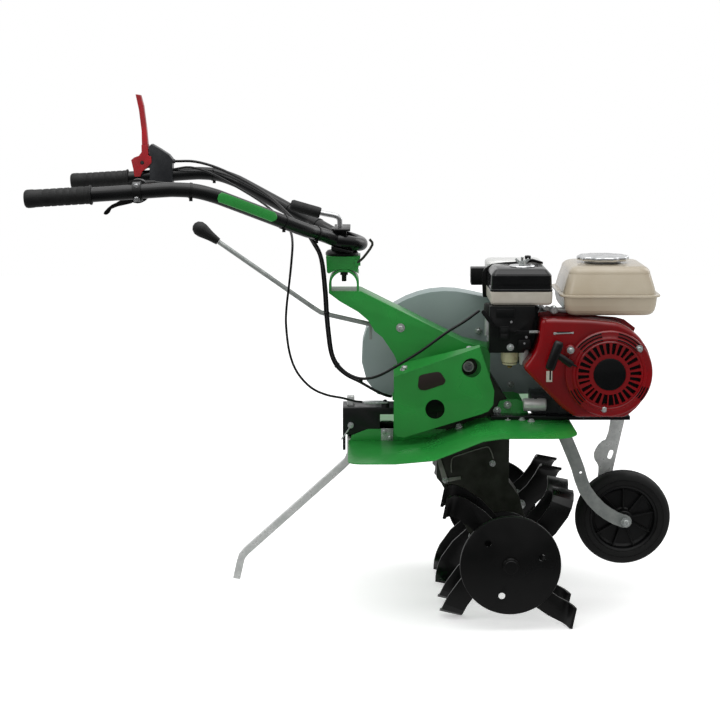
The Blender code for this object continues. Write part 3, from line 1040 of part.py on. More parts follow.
def build_handlebar(machine, finishes):
    tilt = joint("joint_head_tilt", TILT, machine)
    corner = CUP_TOP_Z - 0.0335
    curve = arc(TILT.x, ARCH_R + TILT.z + 2 * GAP - 0.057, 0.057, 124, 56, 6)
    outline = [(TILT.x + 0.035, CUP_TOP_Z), (TILT.x - 0.038, CUP_TOP_Z), (TILT.x - 0.036, corner)] + curve
    outline += [(TILT.x + 0.029, corner + 0.001)]
    cup = slab(outline, -CUP_HALF, CUP_HALF)
    stem_at = Vector((TILT.x, 0, 0))
    under = TILT.z + ARCH_R - ARCH_THICK
    bolt = cylinder(stem_at, 0.005, TILT.z + 0.003, CUP_TOP_Z - 0.01, axis="Z", steps=12)
    washer = cylinder(stem_at, 0.0100, under - 0.0045, under - 0.0025, axis="Z", steps=16)
    nut = cylinder(stem_at, 0.0080, under - 0.0105, under - 0.004, axis="Z", steps=6)
    latch = rod(along([(-0.312, -0.0385, 0.596), (-0.300, -0.048, 0.607), (-0.281, -0.048, 0.634),
                       (-0.287, -0.048, 0.646)], 2), 0.0022, 6)
    latch_boss = box((-0.318, -0.306), (-0.041, -CUP_HALF + 0.001), (0.589, 0.602))
    piece("head_cup", finishes["green"], [cup, bolt, washer, nut, latch_boss, latch], tilt)

    swivel_at = Vector((HEAD_X, 0, CUP_TOP_Z + GAP))
    swivel = joint("joint_bar_swivel", swivel_at, tilt)
    slope = FRONT_DROP / BEND_R
    back_x, front_x = HEAD_X - 0.022, HEAD_X + 0.0235

    def seat_z(x):
        return BEND_Z - slope * (max(x, BEND_X) - BEND_X) - TUBE_R * math.hypot(1, slope) - GAP

    low, top = CUP_TOP_Z + GAP, seat_z(front_x) - 0.003
    dome = turned([(0, low), (0.035, low), (0.035, low + 0.005), (0.031, top), (0, top)],
                  Vector((HEAD_X, 0, 0)), axis="Z", steps=28)
    saddle = slab([(back_x, seat_z(BEND_X) - 0.006), (front_x, top - 0.001), (front_x, seat_z(front_x)),
                   (BEND_X, seat_z(BEND_X)), (back_x, seat_z(BEND_X))], -0.062, 0.062)
    cap_z = BEND_Z + TUBE_R + 0.0035
    post = box((back_x, HEAD_X + 0.010), (-0.020, 0.020), (top - 0.001, cap_z + 0.001))
    cap = box((HEAD_X - 0.016, HEAD_X + 0.018), (-0.062, 0.062), (cap_z, cap_z + 0.004))
    piece("head_dome", finishes["black"], [dome, saddle, post, cap], swivel)

    route = bar_route()
    tube = rod(route, TUBE_R, 10, TUBE_R - TUBE_WALL)
    piece("handlebar", finishes["black"], [tube], swivel)
    for side, word in ((-1, "right"), (1, "left")):
        end, inner = [Vector((x, side * BAR_HALF_Y, z)) for x, _, z in BAR_LEG[:2]]
        way = (end - inner).normalized()
        start = end - way * (GRIP_LENGTH - 0.001)
        tip = end + way * GRIP_END
        stations = [(start, GRIP_FLANGE_R), (start + way * 0.004, GRIP_FLANGE_R),
                    (start + way * 0.006, GRIP_R), (tip - way * 0.004, GRIP_R), (tip, GRIP_R - 0.003)]
        shell = tapered(stations, way, 16)
        cut = tapered([(start - way * 0.01, TUBE_R + PLAY), (end + way * GAP, TUBE_R + PLAY)], way, 16)
        piece(word + "_grip", finishes["rubber"], [shell], swivel, [cut])

    lever_at = Vector((HEAD_X, 0, cap_z + 0.004 + GAP))
    clamp = joint("joint_clamp_lever_turn", lever_at, swivel)
    up = lever_at.z
    route = [(0.0, 0.0), (0.0, 0.003), (0.0, 0.006), (0.004, 0.013), (0.011, 0.018), (0.026, 0.0235),
             (0.045, 0.0284), (0.060, 0.0326)]
    shank = rod(along([(HEAD_X - back, 0, up + rise) for back, rise in route], 2), CLAMP_ROD_R, 10)
    foot = cylinder(lever_at, 0.010, 0.0, 0.006, axis="Z", steps=6)
    way = Vector((-0.060, 0, 0.017)).normalized()
    start = Vector((HEAD_X - 0.046, 0, up + 0.0287))
    stations = [(start, 0.010), (start + way * 0.004, CLAMP_SLEEVE_R)]
    stations += [(start + way * (CLAMP_SLEEVE_LENGTH - 0.004), CLAMP_SLEEVE_R),
                 (start + way * CLAMP_SLEEVE_LENGTH, 0.008)]
    sleeve_body = tapered(stations, way, 14)
    piece("clamp_lever", finishes["zinc"], [shank, foot, sleeve_body], clamp)
    build_throttle(swivel, finishes)
    build_clutch(swivel, finishes)


def tapered(stations, way, steps):
    """A round body with its own radius at each station along one straight line."""
    way = way.normalized()
    across = Vector((0, 1, 0)) if abs(way.y) < 0.9 else Vector((1, 0, 0))
    across = (across - way * across.dot(way)).normalized()
    up = way.cross(across)
    turn = [2 * math.pi * k / steps for k in range(steps)]
    return loft([[p + (across * math.cos(a) + up * math.sin(a)) * r for a in turn] for p, r in stations])


def tube_point(x):
    """A point on the straight end of the right leg of the handlebar."""
    (xa, _, za), (xb, _, zb) = BAR_LEG[1], BAR_LEG[2]
    share = (x - xa) / (xb - xa)
    return Vector((x, -BAR_HALF_Y, za + share * (zb - za)))


def build_throttle(swivel, finishes):
    at = THROTTLE_AT
    ends = tube_point(at.x - 0.006), tube_point(at.x + 0.011)
    way = ends[1] - ends[0]
    clamp = tapered([(p, TUBE_R + 0.0045) for p in ends], way, 16)
    drum_y = (at.y - DRUM_HALF, at.y + DRUM_HALF)
    drum_at = Vector((at.x, 0, at.z))
    drum = cylinder(drum_at, DRUM_R, *drum_y, steps=20)
    pin = cylinder(drum_at, 0.004, drum_y[1] - 0.001, drum_y[1] + 0.005, steps=12)
    adjuster = tapered([(Vector((at.x + 0.010, at.y, at.z + 0.016)), 0.0045),
                        (Vector((at.x + 0.034, at.y, at.z + 0.016)), 0.0045)], Vector((1, 0, 0)), 8)
    tube_way = tapered([(ends[0] - way * 3, TUBE_R + GAP), (ends[1] + way * 3, TUBE_R + GAP)], way, 16)
    piece("throttle_housing", finishes["plastic"], [clamp, drum, pin, adjuster], swivel, [tube_way])
    lever = joint("joint_throttle_lever_turn", shifted(at, y=DRUM_HALF), swivel)
    front = drum_y[1] + GAP
    tip = (at.x + THROTTLE_TIP[0], at.z + THROTTLE_TIP[1])
    route = [(at.x, at.z), (at.x - 0.015, at.z - 0.023), (at.x - 0.038, at.z - 0.033), tip]
    blade = slab(band(route, THROTTLE_BLADE), front, front + 0.004)
    hole = bore(drum_at, 0.004, front - 0.01, front + 0.02, steps=12)
    piece("throttle_lever", finishes["plastic"], [blade], lever, [hole])


def build_clutch(swivel, finishes):
    at = CLUTCH_AT
    x0, x1 = CLUTCH_HOUSING_X
    body = slab([(x0, 0.736), (x1, 0.736), (x1, 0.798), (x1 - 0.008, 0.808), (x1 - 0.028, 0.821),
                 (x0 + 0.005, 0.832), (x0, 0.827)], at.y - CLUTCH_HALF, at.y + CLUTCH_HALF)
    lug_half = 0.010
    lug_end = [(x0 + 0.002, at.z - 0.0125), (x0 + 0.002, at.z + 0.0125)]
    lug = slab(arc(at.x, at.z, 0.0125, 90, 270, 8) + lug_end, at.y - lug_half, at.y + lug_half)
    pin_at = Vector((at.x, 0, at.z))
    pin = cylinder(pin_at, 0.004, at.y - CHEEK_Y[1] + GAP, at.y + CHEEK_Y[1] - GAP, steps=12)
    ends = [Vector((x, at.y, tube_point(x).z)) for x in (x0 - 0.01, x1 + 0.01)]
    cut = tapered([(p, TUBE_R + GAP) for p in ends], ends[1] - ends[0], 16)
    nose = rod([(x1 - 0.001, at.y - 0.010, 0.793), (x1 + 0.006, at.y - 0.010, 0.793)], 0.005, 8)
    piece("clutch_housing", finishes["plastic"], [body, lug, pin, nose], swivel, [cut])

    lever = joint("joint_clutch_lever_turn", at, swivel)
    top = at.z + CLUTCH_LENGTH
    profile = [(at.x - 0.025, at.z + 0.006), (at.x - 0.021, at.z - 0.012), (at.x - 0.018, at.z - 0.031),
               (at.x - 0.005, at.z - 0.031), (at.x + 0.000, at.z - 0.019), (at.x + 0.009, at.z - 0.013),
               (at.x + 0.021, at.z + 0.000), (at.x + 0.0205, at.z + 0.014), (at.x + 0.015, at.z + 0.016),
               (at.x + 0.014, at.z + 0.018), (at.x + 0.012, at.z + 0.044), (at.x + 0.010, at.z + 0.073),
               (at.x + 0.004, top - 0.026), (at.x - 0.002, top - 0.002), (at.x - 0.013, top),
               (at.x - 0.006, at.z + 0.118), (at.x - 0.001, at.z + 0.071), (at.x - 0.001, at.z + 0.024),
               (at.x - 0.008, at.z + 0.015), (at.x - 0.018, at.z + 0.012)]
    blade = slab(profile, at.y - CHEEK_Y[1], at.y + CHEEK_Y[1])
    wide = (at.x - 0.05, at.x + 0.05)
    fork = box(wide, (at.y - CHEEK_Y[0], at.y + CHEEK_Y[0]), (at.z - 0.06, at.z + 0.0165))
    sides = [box(wide, sorted((at.y + side * 0.011, at.y + side * 0.03)), (at.z + 0.040, top + 0.01))
             for side in (-1, 1)]
    hole = bore(pin_at, 0.004, at.y - 0.05, at.y + 0.05, steps=12)
    piece("clutch_lever", finishes["red_plastic"], [blade], lever, [fork, hole] + sides)


def build_gear_rod(machine, finishes):
    slide = joint("joint_gear_rod_slide", GEAR_ROD_END, machine)
    route = [GEAR_ROD_END] + [Vector((x, GEAR_ROD_Y, z)) for x, z in GEAR_ROD_ROUTE]
    bar = rod(route, GEAR_ROD_R, 12)
    x, z = GEAR_ROD_ROUTE[0]
    hook = box((x - 0.004, x + 0.002), (GEAR_ROD_Y - 0.004, GEAR_ROD_Y + 0.004), (z - 0.032, z))
    piece("gear_rod", finishes["zinc"], [bar, hook], slide)
    before, end = route[-2], route[-1]
    way = (end - before).normalized()
    start = end + way * GAP
    stations = [(start, 0.0075), (start + way * 0.020, 0.0105), (start + way * (KNOB_LENGTH - 0.022), KNOB_R),
                (start + way * (KNOB_LENGTH - 0.012), KNOB_R), (start + way * (KNOB_LENGTH - 0.004), 0.011),
                (start + way * KNOB_LENGTH, 0.004)]
    piece("gear_knob", finishes["plastic"], [tapered(stations, way, 16)], slide)


def cable(name, finish, points, radius, machine):
    """A control cable held along its whole route: a round curve with filled ends."""
    curve = bpy.data.curves.new(name, "CURVE")
    curve.dimensions = "3D"
    spline = curve.splines.new("POLY")
    route = along(points, 2)
    spline.points.add(len(route) - 1)
    for found, place in zip(spline.points, route):
        found.co = (*place, 1)
    curve.bevel_depth = radius
    curve.bevel_resolution = 2
    curve.use_fill_caps = True
    curve.materials.append(finish)
    found = bpy.data.objects.new(name, curve)
    bpy.context.scene.collection.objects.link(found)
    found.parent = machine


def build_cables(machine, finishes):
    throttle = [(-0.7115, -0.2500, 0.777), (-0.680, -0.2530, 0.7745), (-0.640, -0.2490, 0.770),
                (-0.590, -0.2300, 0.752), (-0.530, -0.190, 0.727), (-0.470, -0.135, 0.698),
                (-0.430, -0.082, 0.672), (-0.402, -0.062, 0.640), (-0.386, -0.062, 0.604),
                (-0.378, -0.064, 0.540), (-0.375, -0.066, 0.491), (-0.371, -0.068, 0.448),
                (-0.365, -0.070, 0.407), (-0.353, -0.072, 0.382), (-0.332, -0.075, 0.363),
                (-0.305, -0.080, 0.354), (-0.276, -0.090, 0.359), (-0.245, -0.104, 0.376),
                (-0.182, -0.116, 0.417), (-0.128, -0.118, 0.457), (-0.090, -0.117, 0.481),
                (-0.0585, -0.1125, 0.5035)]
    clutch = [(-0.7255, 0.270, 0.793), (-0.680, 0.268, 0.792), (-0.626, 0.248, 0.778),
              (-0.560, 0.200, 0.750), (-0.505, 0.130, 0.722), (-0.460, 0.045, 0.690),
              (-0.425, -0.020, 0.662), (-0.404, -0.045, 0.634), (-0.390, -0.053, 0.604),
              (-0.383, -0.0555, 0.540), (-0.380, -0.0575, 0.491), (-0.376, -0.0595, 0.448),
              (-0.370, -0.0615, 0.407), (-0.358, -0.0635, 0.379), (-0.336, -0.0655, 0.359),
              (-0.306, -0.0675, 0.344), (-0.272, -0.062, 0.3235), (-0.250, -0.056, 0.3130),
              (-0.2396, -0.0535, 0.3108)]
    reverse = [(-0.7300, 0.2695, 0.7748), (-0.690, 0.2560, 0.7800), (-0.640, 0.2440, 0.7660),
               (-0.580, 0.200, 0.738), (-0.520, 0.130, 0.708), (-0.478, 0.045, 0.682),
               (-0.456, -0.020, 0.664), (-0.449, -0.050, 0.640), (-0.451, -0.060, 0.600),
               (-0.456, -0.062, 0.553), (-0.462, -0.062, 0.502), (-0.463, -0.062, 0.462),
               (-0.456, -0.060, 0.405), (-0.440, -0.058, 0.363), (-0.411, -0.055, 0.330),
               (-0.378, -0.048, 0.313), (-0.345, -0.038, 0.3045), (-0.318, -0.030, 0.2960),
               (-0.3022, -0.0280, 0.2940)]
    cable("throttle_cable", finishes["rubber"], throttle, CABLE_R, machine)
    cable("clutch_cable", finishes["rubber"], clutch, CABLE_R, machine)
    cable("reverse_cable", finishes["rubber"], reverse, THIN_CABLE_R, machine)


def main():
    for found in list(bpy.data.objects):
        bpy.data.objects.remove(found)
    finishes = {
        "green": finish_colour("green_powder_coat", (0.030, 0.230, 0.050), 0.42),
        "red": finish_colour("red_enamel", (0.350, 0.004, 0.006), 0.35),
        "red_plastic": finish_colour("red_plastic", (0.450, 0.010, 0.020), 0.40),
        "black": finish_colour("black_paint", (0.012, 0.013, 0.014), 0.45),
        "plastic": finish_colour("black_plastic", (0.015, 0.016, 0.018), 0.50),
        "rubber": finish_colour("black_rubber", (0.014, 0.014, 0.015), 0.70),
        "white": finish_colour("white_plastic", (0.700, 0.680, 0.640), 0.45),
        "tank": finish_colour("cream_enamel", (0.620, 0.580, 0.490), 0.30),
        "guard": finish_colour("grey_paint", (0.160, 0.200, 0.210), 0.45),
        "zinc": finish_colour("zinc_plate", (0.420, 0.460, 0.450), 0.40, 0.9),
        "steel": finish_colour("bright_steel", (0.450, 0.450, 0.460), 0.35, 1.0),
        "aluminium": finish_colour("cast_aluminium", (0.400, 0.400, 0.410), 0.50, 1.0),
        "casting": finish_colour("grey_casting", (0.060, 0.065, 0.068), 0.55, 0.6),
    }
    phase, axle_height = tine_phase()
    machine = bpy.data.objects.new("machine", None)
    bpy.context.scene.collection.objects.link(machine)
    machine["pivot"] = (0.0, 0.0, 0.0)
    build_rotor(machine, finishes, phase)
    build_case(machine, finishes)
    build_drive(machine, finishes)
    build_belt_drive(machine, finishes)
    build_engine(machine, finishes)
    build_frame(machine, finishes)
    build_column(machine, finishes)
    build_side_cover(machine, finishes)
    build_hitch(machine, finishes)
    build_front_wheel(machine, finishes)
    build_handlebar(machine, finishes)
    build_gear_rod(machine, finishes)
    build_cables(machine, finishes)
    machine.location = (-MID_X, 0, axle_height)
    bpy.context.view_layer.update()


main()
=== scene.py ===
"""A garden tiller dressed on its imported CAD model, in a plain white studio.

Sizes are metres in the frame's own place. Points are written from the tine axle, as in the part's
source, and spot() sets them in the frame.
"""
import json
import math

import bmesh
import bpy
from mathutils import Matrix, Vector

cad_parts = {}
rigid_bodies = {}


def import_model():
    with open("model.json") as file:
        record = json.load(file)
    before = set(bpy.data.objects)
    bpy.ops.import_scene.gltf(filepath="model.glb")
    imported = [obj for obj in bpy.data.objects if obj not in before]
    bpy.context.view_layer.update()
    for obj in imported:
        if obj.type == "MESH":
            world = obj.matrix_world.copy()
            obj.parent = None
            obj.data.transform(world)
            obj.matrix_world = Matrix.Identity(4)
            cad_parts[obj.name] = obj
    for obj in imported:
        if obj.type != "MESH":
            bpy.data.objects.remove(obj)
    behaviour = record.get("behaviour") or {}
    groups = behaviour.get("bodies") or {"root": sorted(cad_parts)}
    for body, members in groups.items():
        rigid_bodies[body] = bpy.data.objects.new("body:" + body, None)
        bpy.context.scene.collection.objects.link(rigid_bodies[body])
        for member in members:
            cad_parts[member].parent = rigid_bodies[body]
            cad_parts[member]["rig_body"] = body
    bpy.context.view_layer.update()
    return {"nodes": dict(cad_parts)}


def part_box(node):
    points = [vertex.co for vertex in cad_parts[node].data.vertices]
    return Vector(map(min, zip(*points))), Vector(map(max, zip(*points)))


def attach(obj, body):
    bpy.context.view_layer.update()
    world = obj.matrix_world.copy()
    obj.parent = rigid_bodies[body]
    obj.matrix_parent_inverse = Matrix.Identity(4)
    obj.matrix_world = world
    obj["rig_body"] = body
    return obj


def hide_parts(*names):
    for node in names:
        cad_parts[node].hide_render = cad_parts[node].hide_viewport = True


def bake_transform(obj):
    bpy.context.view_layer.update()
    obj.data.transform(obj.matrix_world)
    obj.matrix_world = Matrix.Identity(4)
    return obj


# The frame and the tine axle's place in it
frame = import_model()
nodes = frame["nodes"]
shaft_low, shaft_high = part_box("rotor_shaft")
AXLE = Vector(((shaft_low.x + shaft_high.x) / 2, 0, (shaft_low.z + shaft_high.z) / 2))
MM = 0.001
SIDES = ((-1, "right"), (1, "left"))   # which way each side lies along y
DRILL = 0.02           # how far a drilled hole reaches to either side
WASHER_THICK = 1.4 * MM

# Engine
CRANK = (0.209, 0.376)
SHROUD_OUTLINE = ((0.068, 0.487), (0.084, 0.4885), (0.17, 0.486), (0.228, 0.48), (0.251, 0.469),
                  (0.272, 0.452), (0.29, 0.426), (0.3005, 0.395), (0.303, 0.377), (0.3005, 0.357),
                  (0.29, 0.328), (0.272, 0.302), (0.248, 0.281), (0.143, 0.281), (0.115, 0.3),
                  (0.078, 0.337), (0.032, 0.385), (0.0455, 0.403), (0.057, 0.421), (0.064, 0.442))
FLANGE_OUTLINE = ((0.069, 0.47), (0.069, 0.493), (0.085, 0.495), (0.093, 0.502), (0.117, 0.503),
                  (0.126, 0.496), (0.133, 0.4893), (0.17, 0.4878), (0.231, 0.483), (0.25, 0.478),
                  (0.274, 0.46), (0.27, 0.45), (0.23, 0.46), (0.15, 0.47))
SHROUD_BACK_Y = -0.0603
SHROUD_FACE_Y = -0.137
RECOIL_R = 0.0905
RECOIL_BACK_Y = -0.1373
RECOIL_DEPTH = 0.0215
VENTS = 28
VENT_FROM = 0.043
VENT_TO = 0.065
VENT_SHARE = 0.6       # of the way from one vent to the next
VENT_DEPTH = 0.012
GROOVE_HALF = 0.0012
TANK_X = (0.119, 0.314)
TANK_Y = (-0.105, 0.105)
TANK_CORNER = 0.03
FILLER = (0.211, 0.0)
CAP_STEPS = 120
CAP_LOBES = 10
CAP_LOBE = 0.0022
CLEANER_X = (-0.035, 0.095)
CLEANER_Y = (-0.1, 0.032)
CLEANER_LEVELS = (0.512, 0.5405, 0.5408, 0.5868)
MUFFLER_X = (-0.032, 0.086)
MUFFLER_Y = (0.0355, 0.118)
MUFFLER_Z = (0.518, 0.59)
SHAFT_END = (-0.076, 0.374)
CARBURETTOR_FACE_Y = -0.1101
BOWL_AT = (0.01, -0.062)
FOOT_Z = 0.2885        # top of the engine's feet

# Faces of the frame that bolts and lips stand on
CASE_SKIN_Y = 0.0404
CASE_FACE_Y = 0.0424
COLUMN_Y = 0.0437
LUG_Y = 0.0466
GUARD_Y = 0.0948
FENDER_TOP_Z = 0.2657

# Rotor and wheel
DISC_R = 0.1035
DISC_Y = 0.268
DISC_HOLES = (15, 135, 255)
DISC_HOLE_AT = 0.066
DISC_HOLE_R = 0.007
TINE_BOLT_AT = (0.045, 0.064)
TINE_TURN = -55.43
TINE_HEAD_Y = 0.0082   # from the flange's middle to the seat of a bolt's head
TINE_NUT_Y = 0.0031    # and to the seat of its nut, on the other face
TINE_SETS = (("right_inner", -1, 0.105), ("right_outer", -1, 0.205), ("left_inner", 1, 0.105),
             ("left_outer", 1, 0.205))
WHEEL_AT = (0.2665, 0.034)
WHEEL_R = 0.103
WHEEL_HALF = 0.0235
WHEEL_RIBS = 9
STRUT_Y = (0.0305, 0.0355)
STRUT_OUTLINE = ((0.241, 0.2632), (0.273, 0.2632), (0.27, 0.238), (0.25, 0.14), (0.244, 0.106),
                 (0.214, 0.094), (0.197, 0.1), (0.215, 0.114), (0.2165, 0.126), (0.2165, 0.138),
                 (0.213, 0.146), (0.208, 0.153), (0.206, 0.16), (0.206, 0.168), (0.2095, 0.178),
                 (0.216, 0.188), (0.223, 0.195), (0.231, 0.199), (0.2365, 0.215), (0.24, 0.238))
STRUT_SLOT = ((0.2405, 0.1605), (0.2435, 0.1705))
SLOT_R = 0.0052
RIM_R = 0.073

# Handlebar
TUBE_R = 0.0145
BAR_HALF_Y = 0.28
BEND_R = 0.055
BEND_X = -0.36
BEND_Z = 0.646
FRONT_DROP = 0.014
BAR_LEG = ((-0.962, 1.0, 0.747), (-0.833, 1.0, 0.755), (-0.7, 1.0, 0.764), (-0.665, 0.997, 0.765),
           (-0.63, 0.977, 0.762), (-0.595, 0.93, 0.752), (-0.56, 0.85, 0.737), (-0.431, 0.465, 0.677),
           (-0.405, 0.36, 0.666), (-0.382, 0.26, 0.656))
GRIP_R = 0.0175
GRIP_LENGTH = 0.13
STRIP_X = -0.592       # where the green strip starts
STRIP_LENGTH = 0.107   # how far it reaches along the machine
STRIP_SPAN = 0.116     # the same along the tube
STRIP_CORNER = 0.005

# Control cables, as listed in the part's source, and where each is split in two stretches
CABLE_R = 0.003
THIN_CABLE_R = 0.0025
THROTTLE_CABLE = ((-0.7115, -0.25, 0.777), (-0.68, -0.253, 0.7745), (-0.64, -0.249, 0.77),
                  (-0.59, -0.23, 0.752), (-0.53, -0.19, 0.727), (-0.47, -0.135, 0.698),
                  (-0.43, -0.082, 0.672), (-0.402, -0.062, 0.64), (-0.386, -0.062, 0.604),
                  (-0.378, -0.064, 0.54), (-0.375, -0.066, 0.491), (-0.371, -0.068, 0.448),
                  (-0.365, -0.07, 0.407), (-0.353, -0.072, 0.382), (-0.332, -0.075, 0.363),
                  (-0.305, -0.08, 0.354), (-0.276, -0.09, 0.359), (-0.245, -0.104, 0.376),
                  (-0.182, -0.116, 0.417), (-0.128, -0.118, 0.457), (-0.09, -0.117, 0.481),
                  (-0.0585, -0.1125, 0.5035))
CLUTCH_CABLE = ((-0.7255, 0.27, 0.793), (-0.68, 0.268, 0.792), (-0.626, 0.248, 0.778), (-0.56, 0.2, 0.75),
                (-0.505, 0.13, 0.722), (-0.46, 0.045, 0.69), (-0.425, -0.02, 0.662), (-0.404, -0.045, 0.634),
                (-0.39, -0.053, 0.604), (-0.383, -0.0555, 0.54), (-0.38, -0.0575, 0.491),
                (-0.376, -0.0595, 0.448), (-0.37, -0.0615, 0.407), (-0.358, -0.0635, 0.379),
                (-0.336, -0.0655, 0.359), (-0.306, -0.0675, 0.344), (-0.272, -0.062, 0.3235),
                (-0.25, -0.056, 0.313), (-0.2396, -0.0535, 0.3108))
REVERSE_CABLE = ((-0.73, 0.2695, 0.7748), (-0.69, 0.256, 0.78), (-0.64, 0.244, 0.766),
                 (-0.58, 0.2, 0.738), (-0.52, 0.13, 0.708), (-0.478, 0.045, 0.682), (-0.456, -0.02, 0.664),
                 (-0.449, -0.05, 0.64), (-0.451, -0.06, 0.6), (-0.456, -0.062, 0.553),
                 (-0.462, -0.062, 0.502), (-0.463, -0.062, 0.462), (-0.456, -0.06, 0.405),
                 (-0.44, -0.058, 0.363), (-0.411, -0.055, 0.33), (-0.378, -0.048, 0.313),
                 (-0.345, -0.038, 0.3045), (-0.318, -0.03, 0.296), (-0.3022, -0.028, 0.294))
CARRIED_FROM = 8       # the point of each route where the cable is split in two stretches

# Camera and light
CAMERA_FROM_AXLE = (-0.307, -3.72, 0.995)
CAMERA_DOWN = 9.38
LENS = 87.5
SENSOR = 36.0
FILL = 0.85            # plain light from all round


def spot(x, y, z):
    """A point given from the tine axle, in the frame's place."""
    return AXLE + Vector((x, y, z))


# Finishes


def srgb(code):
    """Linear colour of an sRGB hex code."""
    parts = [int(code[k:k + 2], 16) / 255 for k in (0, 2, 4)]
    return (*[c / 12.92 if c <= 0.04045 else ((c + 0.055) / 1.055) ** 2.4 for c in parts], 1.0)


def add(tree, kind, inputs=None, **settings):
    """A shader node with its settings; an input takes a value or another node's socket."""
    node = tree.nodes.new("ShaderNode" + kind)
    for key, value in settings.items():
        setattr(node, key, value)
    for key, value in (inputs or {}).items():
        if isinstance(value, bpy.types.NodeSocket):
            tree.links.new(value, node.inputs[key])
        else:
            node.inputs[key].default_value = value
    return node


def new_finish(name):
    """An empty material: its tree, its shader and the place on the object."""
    material = bpy.data.materials.new(name)
    material.use_nodes = True
    tree = material.node_tree
    shader = tree.nodes["Principled BSDF"]
    where = add(tree, "TexCoord").outputs["Object"]
    return material, tree, shader, where


def ramp(tree, value, start, end, low=0.0, high=1.0):
    """A value between low and high, spread from start to end."""
    spread = add(tree, "MapRange", {"Value": value, "From Min": low, "From Max": high, "To Min": start,
                                    "To Max": end})
    return spread.outputs["Result"]


def maths(tree, operation, first, second):
    """Two values joined by an operation."""
    return add(tree, "Math", {0: first, 1: second}, operation=operation).outputs[0]


def patches(tree, where, size_mm, detail, rough=0.55, low=0.35, high=0.65):
    """Soft patches of one size, from 0 to 1."""
    noise = add(tree, "TexNoise", {"Vector": where, "Scale": 1 / (size_mm * MM), "Detail": detail,
                                   "Roughness": rough})
    return ramp(tree, noise.outputs["Fac"], 0.0, 1.0, low, high)


def blended(tree, share, first, second):
    """A colour between two, by a share from 0 to 1."""
    mix = add(tree, "Mix", {0: share, 6: first, 7: second}, data_type="RGBA")
    return mix.outputs[2]


def grain(tree, where, size_mm, detail):
    """Fine noise of one size, for a bump."""
    noise = add(tree, "TexNoise", {"Vector": where, "Scale": 1 / (size_mm * MM), "Detail": detail})
    return noise.outputs["Fac"]


def cells(tree, where, size_mm):
    """Rounded grains of one size, for a bump."""
    return add(tree, "TexVoronoi", {"Vector": where, "Scale": 1 / (size_mm * MM)}).outputs["Distance"]


def connect(tree, shader, colour, rough, height, strength, depth_mm, values):
    """Plugs colour, roughness and a bump into the shader and sets its plain values."""
    bump = add(tree, "Bump", {"Height": height, "Strength": strength, "Distance": depth_mm * MM})
    for key, socket in (("Base Color", colour), ("Roughness", rough), ("Normal", bump.outputs["Normal"])):
        tree.links.new(socket, shader.inputs[key])
    for key, value in values.items():
        shader.inputs[key].default_value = value


def coated_steel(name, colour, shade, dust, gloss, peel_mm, peel, coat=0.0):
    """Sprayed and baked coat: faint orange peel, drifts of tone and a dusting that dulls the gloss."""
    material, tree, shader, where = new_finish(name)
    drift = patches(tree, where, 90, 2.0)
    specks = patches(tree, where, 7, 3.0, 0.6, 0.56, 0.8)
    toned = blended(tree, drift, srgb(colour), srgb(shade))
    dusty = blended(tree, maths(tree, "MULTIPLY", specks, 0.08), toned, srgb(dust))
    connect(tree, shader, dusty, ramp(tree, drift, *gloss), grain(tree, where, peel_mm, 1.0), peel, 0.25,
            {"IOR": 1.5, "Coat Weight": coat, "Coat Roughness": 0.12})
    return material


def moulded_plastic(name, colour, shade, rough, grain_mm=0.9, raised=0.25):
    """Injection-moulded plastic: a fine spark-eroded grain and slightly paler, drier patches."""
    material, tree, shader, where = new_finish(name)
    drift = patches(tree, where, 35, 4.0)
    height = maths(tree, "ADD", cells(tree, where, grain_mm), grain(tree, where, 3, 2.0))
    connect(tree, shader, blended(tree, drift, srgb(colour), srgb(shade)),
            ramp(tree, drift, rough - 0.05, rough + 0.09), height, raised, 0.12, {"IOR": 1.49})
    return material


def soft_rubber(name, colour, shade, rough, speckle_mm=1.4):
    """Vulcanised rubber: matt, with a bloom of grey dust and a finely pitted skin."""
    material, tree, shader, where = new_finish(name)
    bloom = patches(tree, where, 22, 6.0, 0.65)
    connect(tree, shader, blended(tree, bloom, srgb(colour), srgb(shade)),
            ramp(tree, bloom, rough, rough + 0.15), grain(tree, where, speckle_mm, 3.0), 0.35, 0.15,
            {"IOR": 1.52})
    return material


def plated_steel(name, colour, shade, rough, cloud_mm=9.0, metallic=0.6):
    """Zinc-plated or galvanised steel: cloudy crystals, drawn streaks and dull spots."""
    material, tree, shader, where = new_finish(name)
    cloud = patches(tree, where, cloud_mm, 5.0, 0.6, 0.38, 0.62)
    drawn = add(tree, "Mapping", {"Vector": where, "Scale": (60.0, 1400.0, 900.0)})
    streaks = add(tree, "TexNoise", {"Vector": drawn.outputs["Vector"], "Scale": 1.0, "Detail": 2.0})
    connect(tree, shader, blended(tree, cloud, srgb(colour), srgb(shade)),
            ramp(tree, cloud, rough - 0.08, rough + 0.12), streaks.outputs["Fac"], 0.12, 0.1,
            {"Metallic": metallic})
    return material


def cast_metal(name, colour, shade, rough, metallic, sand_mm, raised=0.45):
    """Sand or die casting: a granular skin, darker in its hollows, with oily patches."""
    material, tree, shader, where = new_finish(name)
    height = maths(tree, "ADD", cells(tree, where, sand_mm), grain(tree, where, 2.6 * sand_mm, 4.0))
    oil = patches(tree, where, 28, 4.0)
    connect(tree, shader, blended(tree, oil, srgb(colour), srgb(shade)),
            ramp(tree, oil, rough + 0.08, rough - 0.1), height, raised, 0.3, {"Metallic": metallic})
    return material


